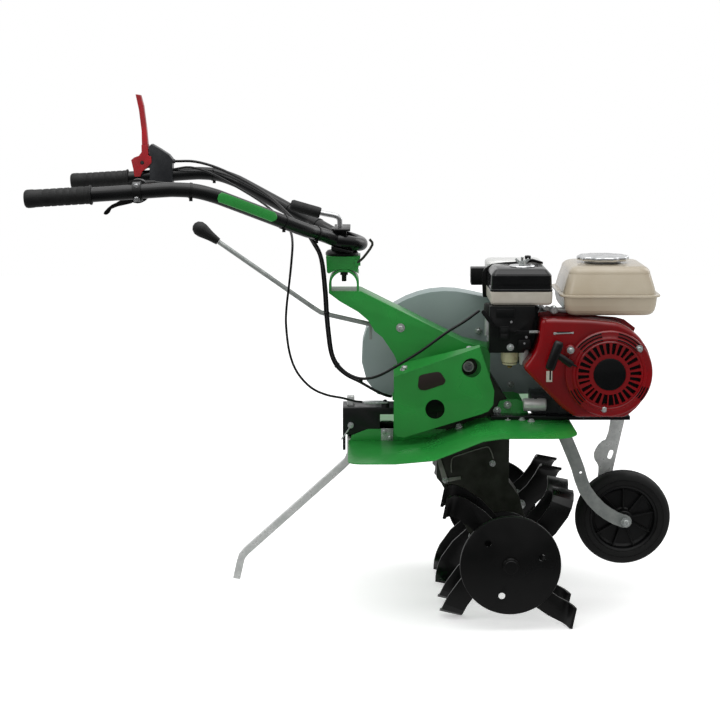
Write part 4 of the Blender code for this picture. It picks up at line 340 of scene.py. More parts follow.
def make_finishes():
    """Every finish by its short name."""
    return {
        # polyester powder coat on the pressed frame: even bright green, soft shine, faint peel
        "green": coated_steel("green_powder_coat", "238836", "1E7D2F", "3C8A48", (0.26, 0.36), 5.0, 0.03),
        # baked enamel on the steel shroud: deep red, wet shine
        "red": coated_steel("red_engine_enamel", "7A0209", "670207", "74171C", (0.18, 0.26), 5.0, 0.03, 0.08),
        # glass-filled nylon of the clutch lever: even red with a dry, slightly mottled skin
        "red_plastic": moulded_plastic("red_nylon", "A8141F", "8F0F18", 0.34),
        # gloss black coat on the bent tube: long clean highlights
        "black": coated_steel("black_gloss_coat", "070809", "0C0D0E", "141516", (0.16, 0.26), 5.0, 0.03),
        # dipped black paint on forged blades: thicker, uneven, duller
        "tine": coated_steel("black_dip_paint", "040505", "090909", "10100F", (0.26, 0.42), 6.0, 0.12),
        # moulded covers and cable sleeves: near black, fine grain, soft shine
        "plastic": moulded_plastic("black_abs", "060708", "0B0C0D", 0.34, 0.9, 0.12),
        # housing of the clutch lever: black nylon made greyer, a painted sheen for the light it catches on
        # top
        "black_plastic_painted_sheen": moulded_plastic("black_nylon_painted_sheen", "222326", "2C2E31", 0.36, 1.1, 0.16),
        # polished lid of the air cleaner: mirrors the room
        "lid": moulded_plastic("black_polished_abs", "060708", "0B0C0D", 0.14, 1.2, 0.05),
        # dusty hand grips and drive belt: matt, pitted
        "rubber": soft_rubber("black_grip_rubber", "090A0B", "101111", 0.55),
        # tyre of the front wheel: the dullest black, coarser pits
        "tyre": soft_rubber("tyre_rubber", "060707", "0D0E0D", 0.62, 2.0),
        # off-white base of the air cleaner, a little yellowed in patches
        "white": moulded_plastic("white_polypropylene", "AEA99E", "A29C90", 0.42, 0.9, 0.1),
        # cream stoving enamel on the pressed tank: smooth, glossy, gently uneven
        "cream": coated_steel("cream_tank_enamel", "B3A996", "AB9F8A", "9E937F", (0.16, 0.24), 5.0,
                              0.02, 0.3),
        # grey-green paint on the belt guard: satin, cloudy
        "guard": coated_steel("grey_guard_paint", "96A5A3", "8F9E9C", "9AA6A4", (0.34, 0.46), 5.0, 0.04),
        # bright zinc plate on bolts and small levers: silvery with duller clouds
        "zinc": plated_steel("zinc_plate", "CCD0CE", "A8AEAD", 0.28),
        # fresh bright bar of the stake, gear rod and stay: nearly white where it faces the light
        "bright_bar": plated_steel("bright_zinc_bar", "E4E6E4", "CDD0CE", 0.34, 16.0, 0.45),
        # dull hot-dip zinc on the wheel arm: grey, broad spangles
        "galvanised": plated_steel("hot_dip_zinc", "9A9E9B", "868B89", 0.42, 20.0, 0.4),
        # chromed cap, clamp and washer: mirror bright with faint wiping marks
        "chrome": plated_steel("bright_chrome", "E2E3E4", "C9CBCC", 0.14, 30.0, 0.9),
        # ground shafts and chain: bright steel with a drawn grain
        "steel": plated_steel("bright_steel", "B9BABC", "939597", 0.3, 12.0),
        # aluminised sheet of the silencer's heat shield: pale, even, softly shining
        "shield": plated_steel("aluminised_sheet", "EDEDEB", "DDDEDC", 0.36, 24.0),
        # bare die castings of the inlet: light grey, granular
        "aluminium": cast_metal("die_cast_aluminium", "B4B6B6", "8E9090", 0.46, 0.5, 0.9),
        # crankcase: blue-black grey over a sand-cast skin; the dark grey is painted shade for the shadow it
        # lies in under the tank and shroud
        "block": cast_metal("crankcase_painted_shade", "36393B", "25282A", 0.46, 0.3, 1.6, 0.3),
        # chain case and pulleys: dark olive-grey casting with oily patches
        "casting": cast_metal("grey_casting", "34372F", "25281F", 0.46, 0.35, 2.4, 0.4),
        # machined joint faces of the chain case: the same metal, paler where it was cut; on the panel's rib
        # this pale colour is a painted highlight along the edge
        "flange": cast_metal("machined_flange_and_painted_highlight", "7C8077", "63675E", 0.4, 0.35, 1.2, 0.2),
        # hitch bracket: black paint over a rough casting; the same black is painted shade on the sheet behind
        # the side cover
        "hitch": cast_metal("black_painted_casting_and_shade", "0B0C0D", "141517", 0.4, 0.0, 2.4, 0.3),
        # turned brass drain screw: warm yellow
        "brass": plated_steel("drawn_brass", "C8A765", "A88850", 0.32, 6.0),
        # float bowl: pale yellow passivated zinc
        "bowl": cast_metal("chromated_zinc", "CFC9A6", "BAB38E", 0.36, 0.15, 1.4, 0.12),
        # gloss plate without any print: flat black, mirror smooth; the same black is painted shade inside the
        # recoil cover's vents, along its arc grooves and in the switch's slot
        "plate": coated_steel("bare_plate_and_painted_shade", "050607", "090A0B", "121314", (0.14, 0.22), 5.0, 0.02),
        # brown-black enamel of the bare plate on the side cover
        "badge": coated_steel("bare_badge_enamel", "2E2220", "261C1A", "3A2E2C", (0.3, 0.4), 5.0, 0.05),
    }


finishes = make_finishes()


# Shared shapes


def merge(bm):
    """Joins the points of a mesh that lie on each other."""
    bmesh.ops.remove_doubles(bm, verts=bm.verts, dist=0.01 * MM)


def placed(name, data):
    """A new object in the scene."""
    found = bpy.data.objects.new(name, data)
    bpy.context.scene.collection.objects.link(found)
    return found


def piece(name, bm, finish, body="machine", edge=0.0, segments=2, angle=30, stands_for=()):
    """Merges and turns a mesh outwards, softens its sharp edges (mm) and hangs it on its body.

    A name with _finished at its end says which node the piece stands for, where stands_for does not.
    """
    merge(bm)
    if edge:
        sharp = [e for e in bm.edges if e.calc_face_angle(0.0) > math.radians(angle)]
        bmesh.ops.bevel(bm, geom=sharp, offset=edge * MM, affect="EDGES", segments=segments, profile=0.5,
                        material=-1, clamp_overlap=True)
    bmesh.ops.recalc_face_normals(bm, faces=bm.faces)
    mesh = bpy.data.meshes.new(name)
    bm.to_mesh(mesh)
    bm.free()
    mesh.materials.append(finishes[finish])
    mesh.shade_smooth()
    mesh.set_sharp_from_angle(angle=math.radians(angle))
    found = placed(name, mesh)
    if body:
        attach(found, body)
    if name.endswith("_finished") and not stands_for:
        stands_for = (name[:-len("_finished")],)
    if stands_for:
        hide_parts(*stands_for)
    return found


def dressed(node, finish, edge, angle=30, segments=2):
    """A merged copy of a CAD node with soft edges (mm) stands for it."""
    bm = bmesh.new()
    bm.from_mesh(nodes[node].data)
    merge(bm)
    bmesh.ops.dissolve_limit(bm, angle_limit=math.radians(0.6), verts=bm.verts, edges=bm.edges)
    return piece(node + "_finished", bm, finish, nodes[node]["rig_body"], edge, segments, angle)


def coloured(node, finish):
    """A CAD node keeps its own mesh and gets a finish."""
    nodes[node].data.materials.clear()
    nodes[node].data.materials.append(finishes[finish])


def points_of(pulled):
    """The points among what was pulled out of a mesh."""
    return [v for v in pulled if isinstance(v, bmesh.types.BMVert)]


def slab(bm, outline, y0, y1):
    """An outline (x, z) from the axle, pulled across from y0 to y1."""
    face = bm.faces.new([bm.verts.new(spot(x, y0, z)) for x, z in outline])
    pulled = bmesh.ops.extrude_face_region(bm, geom=[face])["geom"]
    bmesh.ops.translate(bm, verts=points_of(pulled), vec=(0, y1 - y0, 0))


def rounded(bm, face, corner, segments=6):
    """Rounds a lone face's corners before it is pulled."""
    bmesh.ops.bevel(bm, geom=list(face.verts), offset=corner, affect="VERTICES", segments=segments,
                    profile=0.5, material=-1, clamp_overlap=True)


def turned(bm, profile, at, along, steps):
    """A turned body: profile of (place along the axis, radius) from a point."""
    along = Vector(along).normalized()
    side = along.orthogonal().normalized()
    line = [bm.verts.new(at + along * t + side * r) for t, r in profile]
    edges = [bm.edges.new(pair) for pair in zip(line, line[1:])]
    bmesh.ops.spin(bm, geom=line + edges, cent=at, axis=along, angle=math.tau, steps=steps, use_merge=True)


def solid(*profile):
    """A profile (place along the axis, radius) that is closed on the axis at both ends."""
    return [(profile[0][0], 0.0), *profile, (profile[-1][0], 0.0)]


def ring(*profile):
    """A profile that runs round and back to its start, clear of the axis."""
    return [*profile, profile[0]]


def both_ways(*profile):
    """A ring whose second half mirrors the given one."""
    return ring(*profile, *[(-t, r) for t, r in reversed(profile)])


def box_outline(x, z):
    """A rectangle as an outline."""
    return [(x[0], z[0]), (x[1], z[0]), (x[1], z[1]), (x[0], z[1])]


def stacked(bm, x, y, corner, levels, segments):
    """A box with round upright corners, pulled up through (height, draw-in) levels."""
    middle = spot((x[0] + x[1]) / 2, (y[0] + y[1]) / 2, 0)
    half = Vector(((x[1] - x[0]) / 2, (y[1] - y[0]) / 2))
    z, back = levels[0]
    places = [(sx * (half.x - back), sy * (half.y - back)) for sx, sy in ((1, 1), (-1, 1), (-1, -1), (1, -1))]
    face = bm.faces.new([bm.verts.new(middle + Vector((px, py, z))) for px, py in places])
    rounded(bm, face, corner - min(back, corner * 0.7), segments)
    bm.faces.ensure_lookup_table()
    top = bm.faces[-1]
    for (z0, back0), (z1, back1) in zip(levels, levels[1:]):
        pulled = bmesh.ops.extrude_face_region(bm, geom=[top])["geom"]
        top = [f for f in pulled if isinstance(f, bmesh.types.BMFace)][0]
        drawn = ((half.x - back1) / (half.x - back0), (half.y - back1) / (half.y - back0), 1.0)
        bmesh.ops.scale(bm, verts=points_of(pulled), vec=drawn, space=Matrix.Translation(-middle))
        bmesh.ops.translate(bm, verts=points_of(pulled), vec=(0, 0, z1 - z0))


def along(points, steps):
    """Points of a smooth curve through the given ones."""
    points = [Vector(p) for p in points]
    padded = [2 * points[0] - points[1]] + points + [2 * points[-1] - points[-2]]
    curve = []
    for a, b, c, d in zip(padded, padded[1:], padded[2:], padded[3:]):
        for k in range(steps):
            t = k / steps
            curve.append(0.5 * (2 * b + (c - a) * t + (2 * a - 5 * b + 4 * c - d) * t ** 2
                                + (3 * b - a - 3 * c + d) * t ** 3))
    return curve + [points[-1]]


def bridged(bm, rows):
    """Faces between rows of points that each run round, and over the first and last row."""
    for low, high in zip(rows, rows[1:]):
        for k in range(len(low)):
            bm.faces.new((low[k - 1], low[k], high[k], high[k - 1]))
    bm.faces.new(rows[0])
    bm.faces.new(rows[-1])


def cube(bm, at, sizes):
    """A plain block round a point."""
    bmesh.ops.create_cube(bm, size=1.0, matrix=Matrix.Translation(at) @ Matrix.Diagonal((*sizes, 1)))


def tube(name, route, radius, finish, body, stands_for=(), round_steps=6):
    """A round bar or cable along a route, as a mesh with closed ends."""
    curve = bpy.data.curves.new(name, "CURVE")
    curve.dimensions = "3D"
    curve.bevel_depth = radius
    curve.bevel_resolution = round_steps
    curve.use_fill_caps = True
    spline = curve.splines.new("POLY")
    spline.points.add(len(route) - 1)
    for found, place in zip(spline.points, route):
        found.co = (*place, 1)
    holder = placed(name, curve)
    bpy.context.view_layer.update()
    bm = bmesh.new()
    bm.from_mesh(holder.evaluated_get(bpy.context.evaluated_depsgraph_get()).to_mesh())
    bpy.data.objects.remove(holder)
    bpy.data.curves.remove(curve)
    return piece(name, bm, finish, body, angle=50, stands_for=stands_for)


def cut_out(found, cutter):
    """Takes one mesh out of a piece for good."""
    tool = bpy.data.meshes.new("cutter")
    bmesh.ops.recalc_face_normals(cutter, faces=cutter.faces)
    cutter.to_mesh(tool)
    cutter.free()
    operand = placed("cutter", tool)
    modifier = found.modifiers.new("cut", "BOOLEAN")
    modifier.operation = "DIFFERENCE"
    modifier.solver = "EXACT"
    modifier.object = operand
    bpy.context.view_layer.update()
    done = bpy.data.meshes.new_from_object(found.evaluated_get(bpy.context.evaluated_depsgraph_get()))
    found.modifiers.clear()
    found.data = done
    found.data.set_sharp_from_angle(angle=math.radians(30))
    bpy.data.objects.remove(operand)


def turning(name, finish, at, axis, steps, profile, body="machine", **softness):
    """A turned piece."""
    bm = bmesh.new()
    turned(bm, profile, at, axis, steps)
    return piece(name, bm, finish, body, **softness)


def plate(name, finish, outline, y0, y1, body="machine", **softness):
    """A flat piece that stands along the machine."""
    bm = bmesh.new()
    slab(bm, outline, y0, y1)
    return piece(name, bm, finish, body, **softness)


def moulding(name, finish, x, y, corner, levels, segments=8, **softness):
    """A box-like piece with round upright corners."""
    bm = bmesh.new()
    stacked(bm, x, y, corner, levels, segments)
    return piece(name, bm, finish, **softness)


def drilled(found, at, radius, steps):
    """A round hole across the machine, right through a piece."""
    hole = bmesh.new()
    turned(hole, solid((-DRILL, radius), (DRILL, radius)), at, (0, 1, 0), steps)
    merge(hole)
    cut_out(found, hole)


def bolt(bm, at, axis, across=0.013, height=0.006, washer=0.0085, dome=0.0012):
    """A hexagon head with its washer, standing on the face it clamps."""
    axis = Vector(axis).normalized()
    lean = Vector((0, 0, 1)).rotation_difference(axis).to_matrix().to_4x4()
    corner = across / math.sqrt(3)
    foot = WASHER_THICK if washer else 0.0
    cones = [(28, washer, washer * 0.96, WASHER_THICK, WASHER_THICK / 2)] if washer else []
    cones += [(6, corner, corner, height, foot + height / 2),
              (24, corner * 0.86, corner * 0.6, dome, foot + height + dome / 2)]
    for sides, low, high, depth, rise in cones:
        bmesh.ops.create_cone(bm, cap_ends=True, segments=sides, radius1=low, radius2=high, depth=depth,
                              matrix=Matrix.Translation(at + axis * rise) @ lean)


def bolts(name, places, body="machine", finish="zinc", axis=(0, -1, 0), **sizes):
    """A row of bolts as one piece."""
    bm = bmesh.new()
    for place in places:
        bolt(bm, spot(*place), axis, **sizes)
    return piece(name, bm, finish, body)


# Rotor


def make_rotor():
    """Tine sets with their bolts, and side discs with three holes and a turned cap."""
    for word in ("right", "left"):
        dressed(word + "_inner_tines", "tine", 0.8)
        dressed(word + "_outer_tines", "tine", 0.8)
    dressed("rotor_shaft", "tine", 0.3)
    for name, side, flange_y in TINE_SETS:
        bm = bmesh.new()
        for k in range(4):
            angle = math.radians(TINE_TURN + 90 * k)
            way = -side if k % 2 else side
            for radius in TINE_BOLT_AT:
                x, z = radius * math.cos(angle), radius * math.sin(angle)
                bolt(bm, spot(x, side * flange_y + way * TINE_HEAD_Y, z), (0, way, 0), 0.0158, 0.0072, 0.0112)
                bolt(bm, spot(x, side * flange_y - way * TINE_NUT_Y, z), (0, -way, 0), 0.014, 0.0064, 0.01)
        piece(name + "_bolts", bm, "zinc", "rotor")
    face = DISC_Y + 0.003
    disc_profile = ring((0.2555, 0.013), (0.2555, 0.018), (DISC_Y, 0.018), (DISC_Y, DISC_R - 0.006),
                        (DISC_Y - 0.006, DISC_R - 0.0042), (DISC_Y - 0.006, DISC_R - 0.001),
                        (DISC_Y - 0.005, DISC_R), (face - 0.003, DISC_R), (face - 0.001, DISC_R - 0.001),
                        (face, DISC_R - 0.004), (face, 0.034), (face + 0.0006, 0.031), (face + 0.0006, 0.013))
    cap_profile = solid((0.2708, 0.016), (0.2716, 0.0168), (0.276, 0.0168), (0.2768, 0.0156),
                        (0.283, 0.0146), (0.2842, 0.013))
    for side, word in SIDES:
        disc = turning(word + "_disc_finished", "tine", spot(0, 0, 0), (0, 1, 0), 96,
                       [(side * t, r) for t, r in disc_profile], "rotor", stands_for=(word + "_side_disc",))
        for turn in DISC_HOLES:
            angle = math.radians(turn)
            at = spot(DISC_HOLE_AT * math.cos(angle), side * DISC_Y, DISC_HOLE_AT * math.sin(angle))
            drilled(disc, at, DISC_HOLE_R, 32)
        turning(word + "_axle_nut", "tine", spot(0, 0, 0), (0, 1, 0), 48,
                [(side * t, r) for t, r in cap_profile], "rotor")


# Gearbox, belt drive and frame


def make_frame():
    """Chain case, belt guard, chassis, steering column and hitch, with their bolts, lips and plates."""
    for word in ("right", "left"):
        dressed("chain_case_" + word, "casting", 1.5)
        dressed(word + "_fender", "green", 0.4)
    for row in (("belt_guard", "guard", 2.0, 35, 3), ("chassis_plate", "black", 0.8),
                ("steering_column", "green", 0.6), ("side_cover", "green", 0.4, 8),
                ("hitch_bracket", "hitch", 1.2), ("reverse_arm", "zinc", 0.5),
                ("drag_stake", "bright_bar", 1.5), ("hitch_pin", "zinc", 0.2)):
        dressed(*row)
    for node, finish in (("input_shaft", "steel"), ("driven_pulley", "casting"), ("layshaft", "steel"),
                         ("final_chain", "steel"), ("drive_belt", "rubber"), ("idler_arm", "zinc"),
                         ("idler_pulley", "steel"), ("crankshaft", "steel"), ("flywheel", "black"),
                         ("drive_pulley", "casting")):
        coloured(node, finish)
    for name, side in (("column_bolts", -1), ("far_column_bolts", 1)):
        bolts(name, [(-0.221, side * COLUMN_Y, 0.457), (-0.212, side * COLUMN_Y, 0.373)],
              axis=(0, side, 0), across=0.01, washer=0.0095, height=0.004)
    bolts("guard_bolts", [(-0.046, GUARD_Y, 0.43), (-0.02, GUARD_Y, 0.413), (0.027, GUARD_Y, 0.31)],
          across=0.01, washer=0.008, height=0.005)
    for side, word in SIDES:
        bolts(word + "_fender_bolts",
              [(x, side * y, FENDER_TOP_Z) for x, y in ((0.006, 0.08), (0.036, 0.082), (0.054, 0.1))],
              axis=(0, 0, 1), across=0.01, height=0.0035, washer=0.008, dome=0.0008)
        bolts(word + "_lug_bolts", [(-0.014, side * LUG_Y, 0.279), (0.008, side * LUG_Y, 0.291)],
              axis=(0, side, 0), across=0.01, height=0.005)
        lip_y = side * CASE_FACE_Y
        clip_y = lip_y + side * 0.0014
        plate(word + "_fender_lip", "green",
              [(-0.331, 0.206), (-0.3, 0.211), (-0.236, 0.212), (-0.158, 0.219), (-0.12, 0.234),
               (-0.125, 0.2375), (-0.29, 0.2375), (-0.325, 0.2235)], side * CASE_SKIN_Y, lip_y, edge=0.4)
        plate(word + "_lip_clip", "zinc", box_outline((-0.262, -0.236), (0.212, 0.239)), lip_y, clip_y,
              edge=0.3)
        bolts(word + "_lip_bolts", [(-0.255, clip_y, 0.232), (-0.243, clip_y, 0.219)],
              axis=(0, side, 0), across=0.008, height=0.003, washer=0.0)
        make_case_face(side, word)
    bolts("cover_bolts", [(-0.095, -0.062, 0.245)], axis=(-0.37, 0, 0.93), across=0.011)
    bolts("cover_top_bolts", [(-0.213, -0.076, 0.3725), (-0.0765, -0.072, 0.413)], axis=(0, -0.2, 1),
          across=0.012, washer=0.0095, height=0.006)
    turning("bearing_ring", "shield", spot(SHAFT_END[0], 0, SHAFT_END[1]), (0, -1, 0), 48,
            ring((0.0456, 0.0088), (0.0456, 0.0118), (0.0472, 0.0118), (0.048, 0.0112), (0.048, 0.0094),
                 (0.0472, 0.0088)), "input_shaft")
    # black sheet behind the side cover: painted shade in the space under the cover
    plate("cover_liner", "hitch", box_outline((-0.185, -0.11), (0.274, 0.31)), -0.0405, -0.0425, edge=0.5)
    make_cover_plate()
    make_strut()


def make_case_face(side, word):
    """The raised panel's rib, pale as a painted highlight along its edge, the machined joint and bolts on one
    half of the chain case.
    """
    face_y = side * CASE_FACE_Y
    joint_y = face_y + side * 0.0012
    # the rib along the panel's edge is pale as a painted highlight
    ribs = [spot(x, face_y, z) for x, z in
            ((-0.11, 0.142), (-0.111, 0.16), (-0.108, 0.174), (-0.095, 0.18), (-0.045, 0.196),
             (-0.032, 0.198), (-0.025, 0.188), (-0.02, 0.172))]
    tube(word + "_case_rib", along(ribs, 3), 0.0013, "flange", "machine", round_steps=3)
    plate(word + "_case_joint", "flange",
          [(-0.143, 0.176), (-0.135, 0.178), (-0.119, 0.13), (-0.09, 0.134), (-0.09, 0.127),
           (-0.123, 0.12), (-0.129, 0.123)], face_y, joint_y, edge=0.3)
    bolts(word + "_case_bolts", [(-0.1235, joint_y, 0.125), (-0.022, face_y, 0.162)],
          axis=(0, side, 0), across=0.009, height=0.0035, washer=0.007)


def make_cover_plate():
    """A bare dark plate on the side cover, along its fold."""
    outline = [(-0.1855, 0.34), (-0.181, 0.333), (-0.169, 0.332), (-0.131, 0.345), (-0.1265, 0.353),
               (-0.1375, 0.37), (-0.145, 0.372), (-0.176, 0.366), (-0.1835, 0.362)]
    bm = bmesh.new()
    face = bm.faces.new([bm.verts.new(spot(x, -0.0986, z)) for x, z in outline])
    rounded(bm, face, 0.003, 4)
    pulled = bmesh.ops.extrude_face_region(bm, geom=list(bm.faces))["geom"]
    bmesh.ops.translate(bm, verts=points_of(pulled), vec=(0, -0.0009, 0))
    piece("cover_plate", bm, "badge", edge=0.2)


def make_strut():
    """The flat stay of the front wheel with its round-ended slot."""
    strut = plate("wheel_strut_finished", "bright_bar", STRUT_OUTLINE, *STRUT_Y, edge=0.5)
    low, high = [Vector(end) for end in STRUT_SLOT]
    way = (high - low).normalized()
    aside = Vector((way.y, -way.x))
    outline = []
    for end, radius in ((high, SLOT_R), (low, -SLOT_R)):
        for k in range(9):
            angle = math.pi * k / 8
            outline.append(end + radius * (aside * math.cos(angle) + way * math.sin(angle)))
    hole = bmesh.new()
    slab(hole, outline, STRUT_Y[0] - 0.01, STRUT_Y[1] + 0.01)
    cut_out(strut, hole)


# Engine


def make_engine():
    """The engine with its fittings; its big pieces have functions of their own."""
    # the engine block's dark grey finish is painted shade
    for row in (("engine_block", "block", 1.0), ("choke_lever", "plastic", 0.3),
                ("throttle_arm", "plastic", 0.3), ("wing_nut", "zinc", 0.4)):
        dressed(*row)
    make_starter_grip()
    make_shroud()
    make_recoil()
    make_tank()
    make_cleaner()
    make_carburettor()
    make_muffler()
    bolts("engine_bolts", [(x, y, FOOT_Z) for y in (-0.053, 0.073) for x in (0.13, 0.25)],
          axis=(0, 0, 1), across=0.012, washer=0.01)
    turning("oil_drain_boss", "shield", spot(0.041, -0.06, 0.294), (1, 0, 0), 40,
            solid((0.0, 0.0125), (0.0015, 0.0138), (0.046, 0.0138), (0.048, 0.0125)))
    plate("choke_tip", "zinc",
          [(0.0455, 0.456), (0.063, 0.4558), (0.0655, 0.4575), (0.0655, 0.46), (0.063, 0.4615),
           (0.0455, 0.4608)], -0.1134, -0.1102, "choke_lever", edge=0.4)


def make_starter_grip():
    """The T handle of the starter: a leaning bar with its short neck, and a piece of its rope."""
    bm = bmesh.new()
    turned(bm, solid((0.0, 0.0065), (0.002, 0.009), (0.006, 0.0102), (0.056, 0.0102), (0.0603, 0.009),
                     (0.0623, 0.0065)), spot(0.083, -0.167, 0.3875), (0.02, 0.0, 0.059), 40)
    turned(bm, solid((0.0, 0.0066), (0.039, 0.0078), (0.042, 0.0062)), spot(0.095, -0.1665, 0.4215),
           (0.02, 0.0, -0.014), 36)
    piece("starter_grip_finished", bm, "plastic", "starter_grip", angle=40)
    inside, held = spot(0.146, -0.15, 0.3895), spot(0.122, -0.1665, 0.4026)
    rope = tube("starter_rope", [inside.lerp(held, k / 40) for k in range(41)], 0.0022, "rubber", None)
    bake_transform(rope)


def make_shroud():
    """The pressed fan shroud, open at the back, with the bare plates on its face and a dark strip of painted
    shade for the switch's slot.
    """
    bm = bmesh.new()
    face = bm.faces.new([bm.verts.new(spot(x, SHROUD_FACE_Y, z)) for x, z in SHROUD_OUTLINE])
    rounded(bm, face, 0.012)
    bm.faces.ensure_lookup_table()
    rim = list(bm.faces[-1].edges)
    pulled = bmesh.ops.extrude_edge_only(bm, edges=rim)["geom"]
    bmesh.ops.translate(bm, verts=points_of(pulled), vec=(0, SHROUD_BACK_Y - SHROUD_FACE_Y, 0))
    bmesh.ops.bevel(bm, geom=rim, offset=0.009, affect="EDGES", segments=5, profile=0.5, material=-1)
    bmesh.ops.recalc_face_normals(bm, faces=bm.faces)
    shroud = piece("fan_shroud_finished", bm, "red")
    wall = shroud.modifiers.new("wall", "SOLIDIFY")
    wall.thickness = 0.0025
    wall.offset = -1
    plate("shroud_flange", "red", FLANGE_OUTLINE, -0.0655, -0.061, edge=0.8)
    front_y = SHROUD_FACE_Y - 0.0001
    # the narrow dark strip on the white switch plate is painted shade for the inside of the switch's slot
    for name, x, z, thick, finish in (("shroud_plate", (0.1, 0.13), (0.46, 0.4625), 0.0006, "plate"),
                                      ("switch_plate", (0.08, 0.0925), (0.357, 0.38), 0.001, "white"),
                                      ("switch_slot", (0.0866, 0.0898), (0.361, 0.38), 0.0014, "plate")):
        plate(name, finish, box_outline(x, z), front_y, front_y - thick, edge=0.25)
    plate("shroud_clip", "zinc",
          [(0.0935, 0.457), (0.096, 0.4562), (0.1, 0.4572), (0.115, 0.458), (0.13, 0.4585),
           (0.1345, 0.4582), (0.136, 0.46), (0.1345, 0.4622), (0.13, 0.4614), (0.115, 0.4602),
           (0.1, 0.4602), (0.096, 0.4618), (0.0935, 0.4605)], front_y, front_y - 0.0016, edge=0.3)


def make_recoil():
    """The starter cover: a dished ring of radial vents round a plain black boss, and three bolts."""
    at = spot(CRANK[0], RECOIL_BACK_Y, CRANK[1])
    deep = RECOIL_DEPTH
    bm = bmesh.new()
    turned(bm, [(0, RECOIL_R), (deep - 0.0125, RECOIL_R), (deep - 0.0105, RECOIL_R - 0.001),
                (deep - 0.009, RECOIL_R - 0.003), (deep - 0.008, RECOIL_R - 0.01),
                (deep - 0.007, RECOIL_R - 0.0125), (deep - 0.003, RECOIL_R - 0.0145),
                (deep - 0.0022, RECOIL_R - 0.016), (deep - 0.0022, 0.072), (deep - 0.0035, 0.07),
                (deep - 0.0012, 0.0675), (deep - 0.001, 0.0655), (deep - 0.0004, 0.0425),
                (deep - 0.0004, 0.0345), (deep - 0.0015, 0.034), (deep - 0.0015, 0.0)],
           at, (0, -1, 0), 5 * VENTS)
    merge(bm)
    bmesh.ops.recalc_face_normals(bm, faces=bm.faces)
    slots = []
    for found in bm.faces:
        middle = found.calc_center_median() - at
        radius = math.hypot(middle.x, middle.z)
        share = (math.atan2(middle.z, middle.x) / math.tau * VENTS) % 1.0
        if VENT_FROM < radius < VENT_TO and share < VENT_SHARE and -middle.y > deep - 0.003:
            slots.append(found)
    pulled = bmesh.ops.extrude_face_region(bm, geom=slots)["geom"]
    bmesh.ops.translate(bm, verts=points_of(pulled), vec=(0, VENT_DEPTH, 0))
    bmesh.ops.delete(bm, geom=slots, context="FACES_ONLY")
    # the faces pulled in to make the vents take the flat black: painted shade inside the vents
    floors = {f for f in pulled if isinstance(f, bmesh.types.BMFace)}
    for found in bm.faces:
        found.material_index = int(found in floors)
    cover = piece("recoil_cover_finished", bm, "red", angle=28)
    cover.data.materials.append(finishes["plate"])
    turning("recoil_boss", "plate", at, (0, -1, 0), 72,
            solid((deep - 0.0014, 0.0334), (deep - 0.0006, 0.0332), (deep - 0.0002, 0.0322)))
    # dark arc strips just proud of the cover: painted shade for the insides of its grooves
    bm = bmesh.new()
    for start, end in ((102, 140), (40, 78), (204, 228), (320, 340)):
        turns = [math.radians(start + (end - start) * k / 16) for k in range(17)]
        for radius, sunk in ((0.0733, 0.0016), (0.0797, 0.0064), (0.0862, 0.0074)):
            edges = [(radius + GROOVE_HALF, a) for a in turns]
            edges += [(radius - GROOVE_HALF, a) for a in turns[::-1]]
            floor_y = RECOIL_BACK_Y - deep + sunk
            slab(bm, [(CRANK[0] + r * math.cos(a), CRANK[1] + r * math.sin(a)) for r, a in edges],
                 floor_y + 0.003, floor_y)
    piece("recoil_grooves", bm, "plate")
    ears = ((0.128, 0.426), (0.27, 0.429), (0.2, 0.303))
    bm = bmesh.new()
    for x, z in ears:
        turned(bm, solid((0.0, 0.0105), (deep - 0.0085, 0.0105), (deep - 0.0075, 0.0095)),
               spot(x, RECOIL_BACK_Y, z), (0, -1, 0), 36)
    piece("recoil_ears", bm, "red")
    bolts("recoil_bolts", [(x, RECOIL_BACK_Y - deep + 0.0074, z) for x, z in ears], across=0.0095,
          washer=0.0078, height=0.0035)


def make_tank():
    """The pressed tank in three pieces (bottom, seam and top), with the filler's neck and cap."""
    box = (TANK_X, TANK_Y, TANK_CORNER)
    moulding("fuel_tank_bottom", "cream", *box,
             [(0.49, 0.016), (0.4915, 0.0115), (0.495, 0.0075), (0.501, 0.004), (0.512, 0.0015),
              (0.5285, 0.0)], stands_for=("fuel_tank",))
    moulding("fuel_tank_seam", "cream", *box,
             [(0.5285, 0.0), (0.5292, -0.0068), (0.53, -0.0078), (0.5318, -0.008), (0.5334, -0.0078),
              (0.5342, -0.0068), (0.5345, 0.0)])
    levels = [(0.5345, 0.0), (0.537, 0.0004)]
    levels += [(0.537 + 0.039 * k / 6, 0.0004 + 0.0092 * k / 6 + 0.0024 * (k / 6) ** 2) for k in range(1, 7)]
    for k in range(1, 9):
        turn = math.pi / 2 * k / 8
        levels.append((0.576 + 0.016 * math.sin(turn), 0.012 + 0.019 * (1 - math.cos(turn))))
    moulding("fuel_tank_top", "cream", *box, levels, 10, angle=50)
    turning("filler_neck", "chrome", spot(*FILLER, 0), (0, 0, 1), 64,
            solid((0.588, 0.044), (0.5915, 0.042), (0.5945, 0.0385), (0.5963, 0.038)))
    make_cap()


def make_cap():
    """The pressed filler cap with its scalloped edge."""
    bm = bmesh.new()
    middle = spot(*FILLER, 0)
    rows = []
    for z, radius in ((0.5971, 0.045), (0.5974, 0.0515), (0.5985, 0.0532), (0.603, 0.0538),
                      (0.6058, 0.053), (0.607, 0.0508), (0.6072, 0.04), (0.6076, 0.038)):
        row = []
        for k in range(CAP_STEPS):
            turn = math.tau * k / CAP_STEPS
            out = radius + (CAP_LOBE * math.cos(CAP_LOBES * turn) if radius > 0.05 else 0.0)
            row.append(bm.verts.new(middle + Vector((out * math.cos(turn), out * math.sin(turn), z))))
        rows.append(row)
    bridged(bm, rows)
    piece("fuel_cap_finished", bm, "chrome", "fuel_cap", angle=50)


